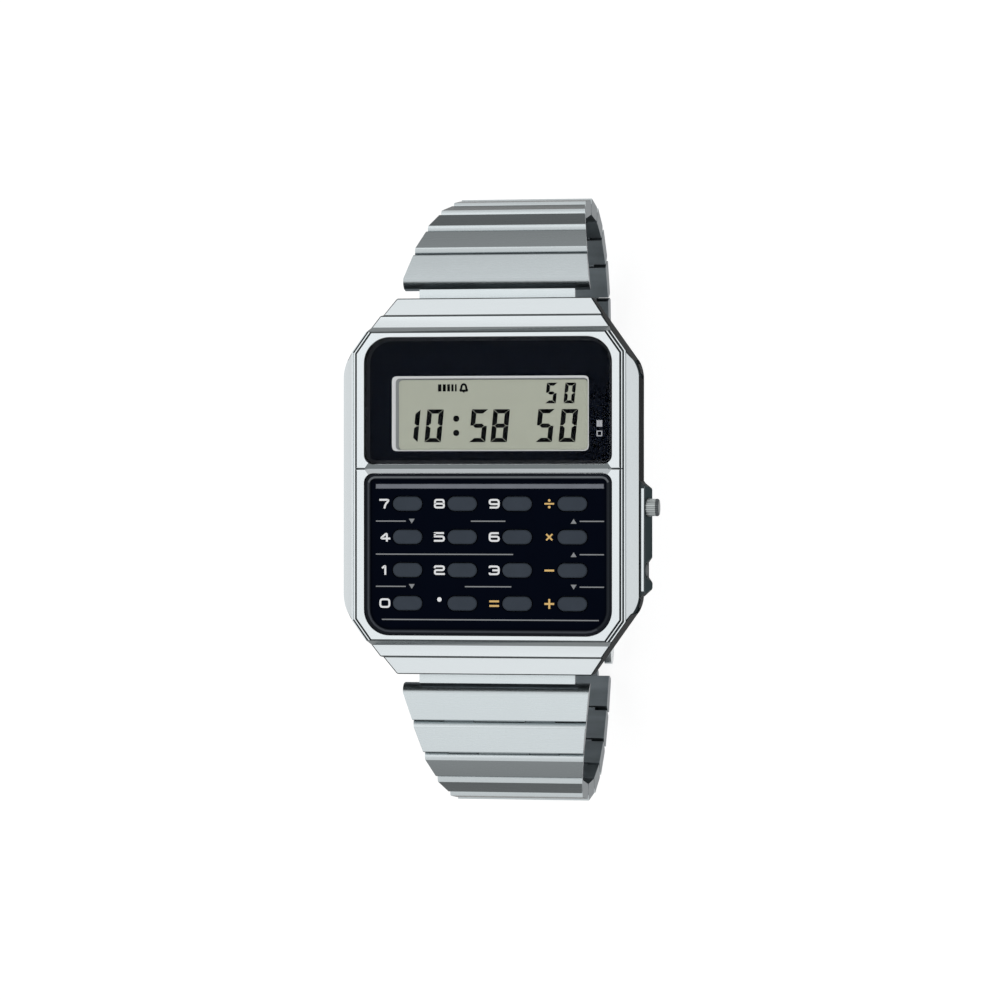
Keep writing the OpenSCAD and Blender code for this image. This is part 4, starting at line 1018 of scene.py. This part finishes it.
def link_mesh(node):
    """A link, its faces numbered as bright outer face, bevel, sheared side or inner face; the last three
    carry painted shade.
    """
    middle = Vector((0, 0, rim_z / 2))
    bm = merged(node)
    areas = {}
    for face in bm.faces:
        if face.normal.dot(face.calc_center_median() - middle) > 0 and abs(face.normal.x) < EVEN:
            areas[lean_of(face)] = areas.get(lean_of(face), 0) + face.calc_area()
    outward = Vector(max(areas, key=areas.get)).normalized()
    top = max(vertex.co.dot(outward) for vertex in bm.verts)
    rounded_ends(bm, outward)

    def zone(place, normal):
        lean = normal.dot(outward)
        if abs(normal.x) < PART_ON and lean > PART_ON and place.dot(outward) > top - BEVEL_DOWN:
            return 0 if lean > LEVEL else 1
        if normal.z > FLAT and node.endswith("link_1"):
            return 0
        return 2 if abs(normal.x) > SIDE_ON else 3

    return by_zone(softened(node, LINK_EDGE, bm=bm), zone)


for side in ("top", "low"):
    for n in range(1, 11):
        node = f"{side}_link_{n}"
        add_piece(f"{node}_steel", link_mesh(node), node, "link_steel", link_looks, node)

# Clasp: a folding leaf under a channel-shaped cover of pressed steel, with a small adjusting
# tab let into the cover's floor.
CLASP_EDGE = 0.06 * MM

clasp_steel = brushed_metal("clasp_steel", (0.57, 0.6, 0.61), 0.27, tone=0.1)
for name in ("clasp_leaf", "clasp_cover", "clasp_tab"):
    add_piece(name + "_steel", softened(name, CLASP_EDGE), name, "clasp_steel", [clasp_steel], name)

# Floor: pale card under the watch, grey further off, and made white near the watch by a painted
# pool of glow.
FLOOR_HALF = 3.0
POOL_START, POOL_END = 0.078, 0.13
POOL_SHIFT, POOL_POWER = 0.008, 6.0
# Painted light: within the pool the card glows white to the camera, metal and glass, over a darker base.
POOL_BASE, POOL_GLOW = 0.30, 0.78
FLOOR_GREY = 0.82


def pale_floor():
    """Card made white near the watch by a painted pool of glow, and grey further off. The glow shows to the
    camera, metal and glass.
    """
    material, tree, shader = new_material("floor_card", specular=0.1)
    shader.inputs["Roughness"].default_value = 0.8
    place = new_node(tree, "ShaderNodeTexCoord", -1500, 0).outputs["Object"]
    shifted = new_node(tree, "ShaderNodeVectorMath", -1420, 0, place, (POOL_SHIFT, 0, 0)).outputs[0]
    parts = new_node(tree, "ShaderNodeSeparateXYZ", -1300, 0, shifted)
    sizes = [worked_out(tree, -1120, -200 * i, "ABSOLUTE", parts.outputs[i]) for i in range(2)]
    powers = [worked_out(tree, -960, -200 * i, "POWER", size, POOL_POWER) for i, size in enumerate(sizes)]
    total = worked_out(tree, -800, 0, "ADD", *powers)
    far = worked_out(tree, -640, 0, "POWER", total, 1 / POOL_POWER)
    pool = new_node(tree, "ShaderNodeMapRange", -460, 0, Value=far, From_Min=POOL_END, From_Max=POOL_START)
    pool.interpolation_type = "SMOOTHSTEP"
    near = pool.outputs["Result"]
    colour = tree.nodes.new("ShaderNodeMix")
    colour.location = (-260, 120)
    colour.data_type = "RGBA"
    colour.inputs["A"].default_value = (FLOOR_GREY, FLOOR_GREY, FLOOR_GREY, 1)
    colour.inputs["B"].default_value = (POOL_BASE, POOL_BASE, POOL_BASE, 1)
    tree.links.new(near, colour.inputs["Factor"])
    tree.links.new(colour.outputs["Result"], shader.inputs["Base Color"])
    rays = new_node(tree, "ShaderNodeLightPath", -760, -400).outputs
    seen = worked_out(tree, -560, -400, "MAXIMUM", rays["Is Camera Ray"], rays["Is Glossy Ray"])
    seen = worked_out(tree, -400, -400, "MAXIMUM", seen, rays["Is Transmission Ray"])
    glow = worked_out(tree, -240, -300, "MULTIPLY", seen, near)
    glow = worked_out(tree, -80, -300, "MULTIPLY", glow, POOL_GLOW)
    shader.inputs["Emission Color"].default_value = (1, 1, 1, 1)
    tree.links.new(glow, shader.inputs["Emission Strength"])
    return material


def floor_card():
    """A large flat sheet just under the clasp."""
    bm = bmesh.new()
    bmesh.ops.create_grid(bm, x_segments=2, y_segments=2, size=FLOOR_HALF)
    return to_mesh(bm, "floor")


floor = bpy.data.objects.new("floor", floor_card())
bpy.context.scene.collection.objects.link(floor)
paint(floor, pale_floor())

# Light: a white studio dome, grey at the horizon, and a soft panel from the upper left.
DOME_HORIZON, DOME_TOP = 0.93, 1.0
DOME_RISE = (0.45, 0.9)
LAMP_PLACE, LAMP_SIDE, LAMP_POWER = (-0.35, 0.3, 0.7), 0.5, 0.4

world = bpy.data.worlds.new("studio")
world.use_nodes = True
bpy.context.scene.world = world
sky = world.node_tree
direction = new_node(sky, "ShaderNodeTexCoord", -800, 0).outputs["Generated"]
height = new_node(sky, "ShaderNodeSeparateXYZ", -600, 0, direction).outputs["Z"]
rise = new_node(
    sky, "ShaderNodeMapRange", -400, 0, Value=height,
    From_Min=DOME_RISE[0], From_Max=DOME_RISE[1], To_Min=DOME_HORIZON, To_Max=DOME_TOP,
)
rise.interpolation_type = "SMOOTHSTEP"
background = sky.nodes["Background"]
sky.links.new(rise.outputs["Result"], background.inputs["Strength"])
background.inputs["Color"].default_value = (1, 1, 1, 1)

lamp = bpy.data.lights.new("soft_panel", "AREA")
lamp.shape = "RECTANGLE"
lamp.size = lamp.size_y = LAMP_SIDE
lamp.energy = LAMP_POWER
holder = bpy.data.objects.new("soft_panel", lamp)
bpy.context.scene.collection.objects.link(holder)
holder.location = LAMP_PLACE
holder.rotation_euler = (Vector((0, 0, rim_z)) - holder.location).to_track_quat("-Z", "Y").to_euler()

# Camera: over the dial, ten degrees towards 3 o'clock, with 12 o'clock up.
CAMERA_FAR = 0.45
CAMERA_SIDE = radians(10)
RIM_SCALE = 8.75 / MM
IMAGE_SIDE, SENSOR = 1000, 36
RIM_PIXEL = (487.25, 486.25)

camera = bpy.data.cameras.new("camera")
camera.sensor_width = SENSOR
camera.lens = SENSOR * RIM_SCALE * CAMERA_FAR / IMAGE_SIDE
camera.shift_x = (IMAGE_SIDE / 2 - RIM_PIXEL[0]) / IMAGE_SIDE
camera.shift_y = (RIM_PIXEL[1] - IMAGE_SIDE / 2) / IMAGE_SIDE
camera.clip_start = 0.01
stand = bpy.data.objects.new("camera", camera)
bpy.context.scene.collection.objects.link(stand)
back = Vector((sin(CAMERA_SIDE), 0, cos(CAMERA_SIDE)))
right = lengthways.cross(back).normalized()
turn = Matrix((right, back.cross(right), back)).transposed()
stand.matrix_world = Matrix.Translation(Vector((0, 0, rim_z)) + back * CAMERA_FAR) @ turn.to_4x4()
bpy.context.scene.camera = stand

bpy.context.scene.view_settings.view_transform = "Standard"
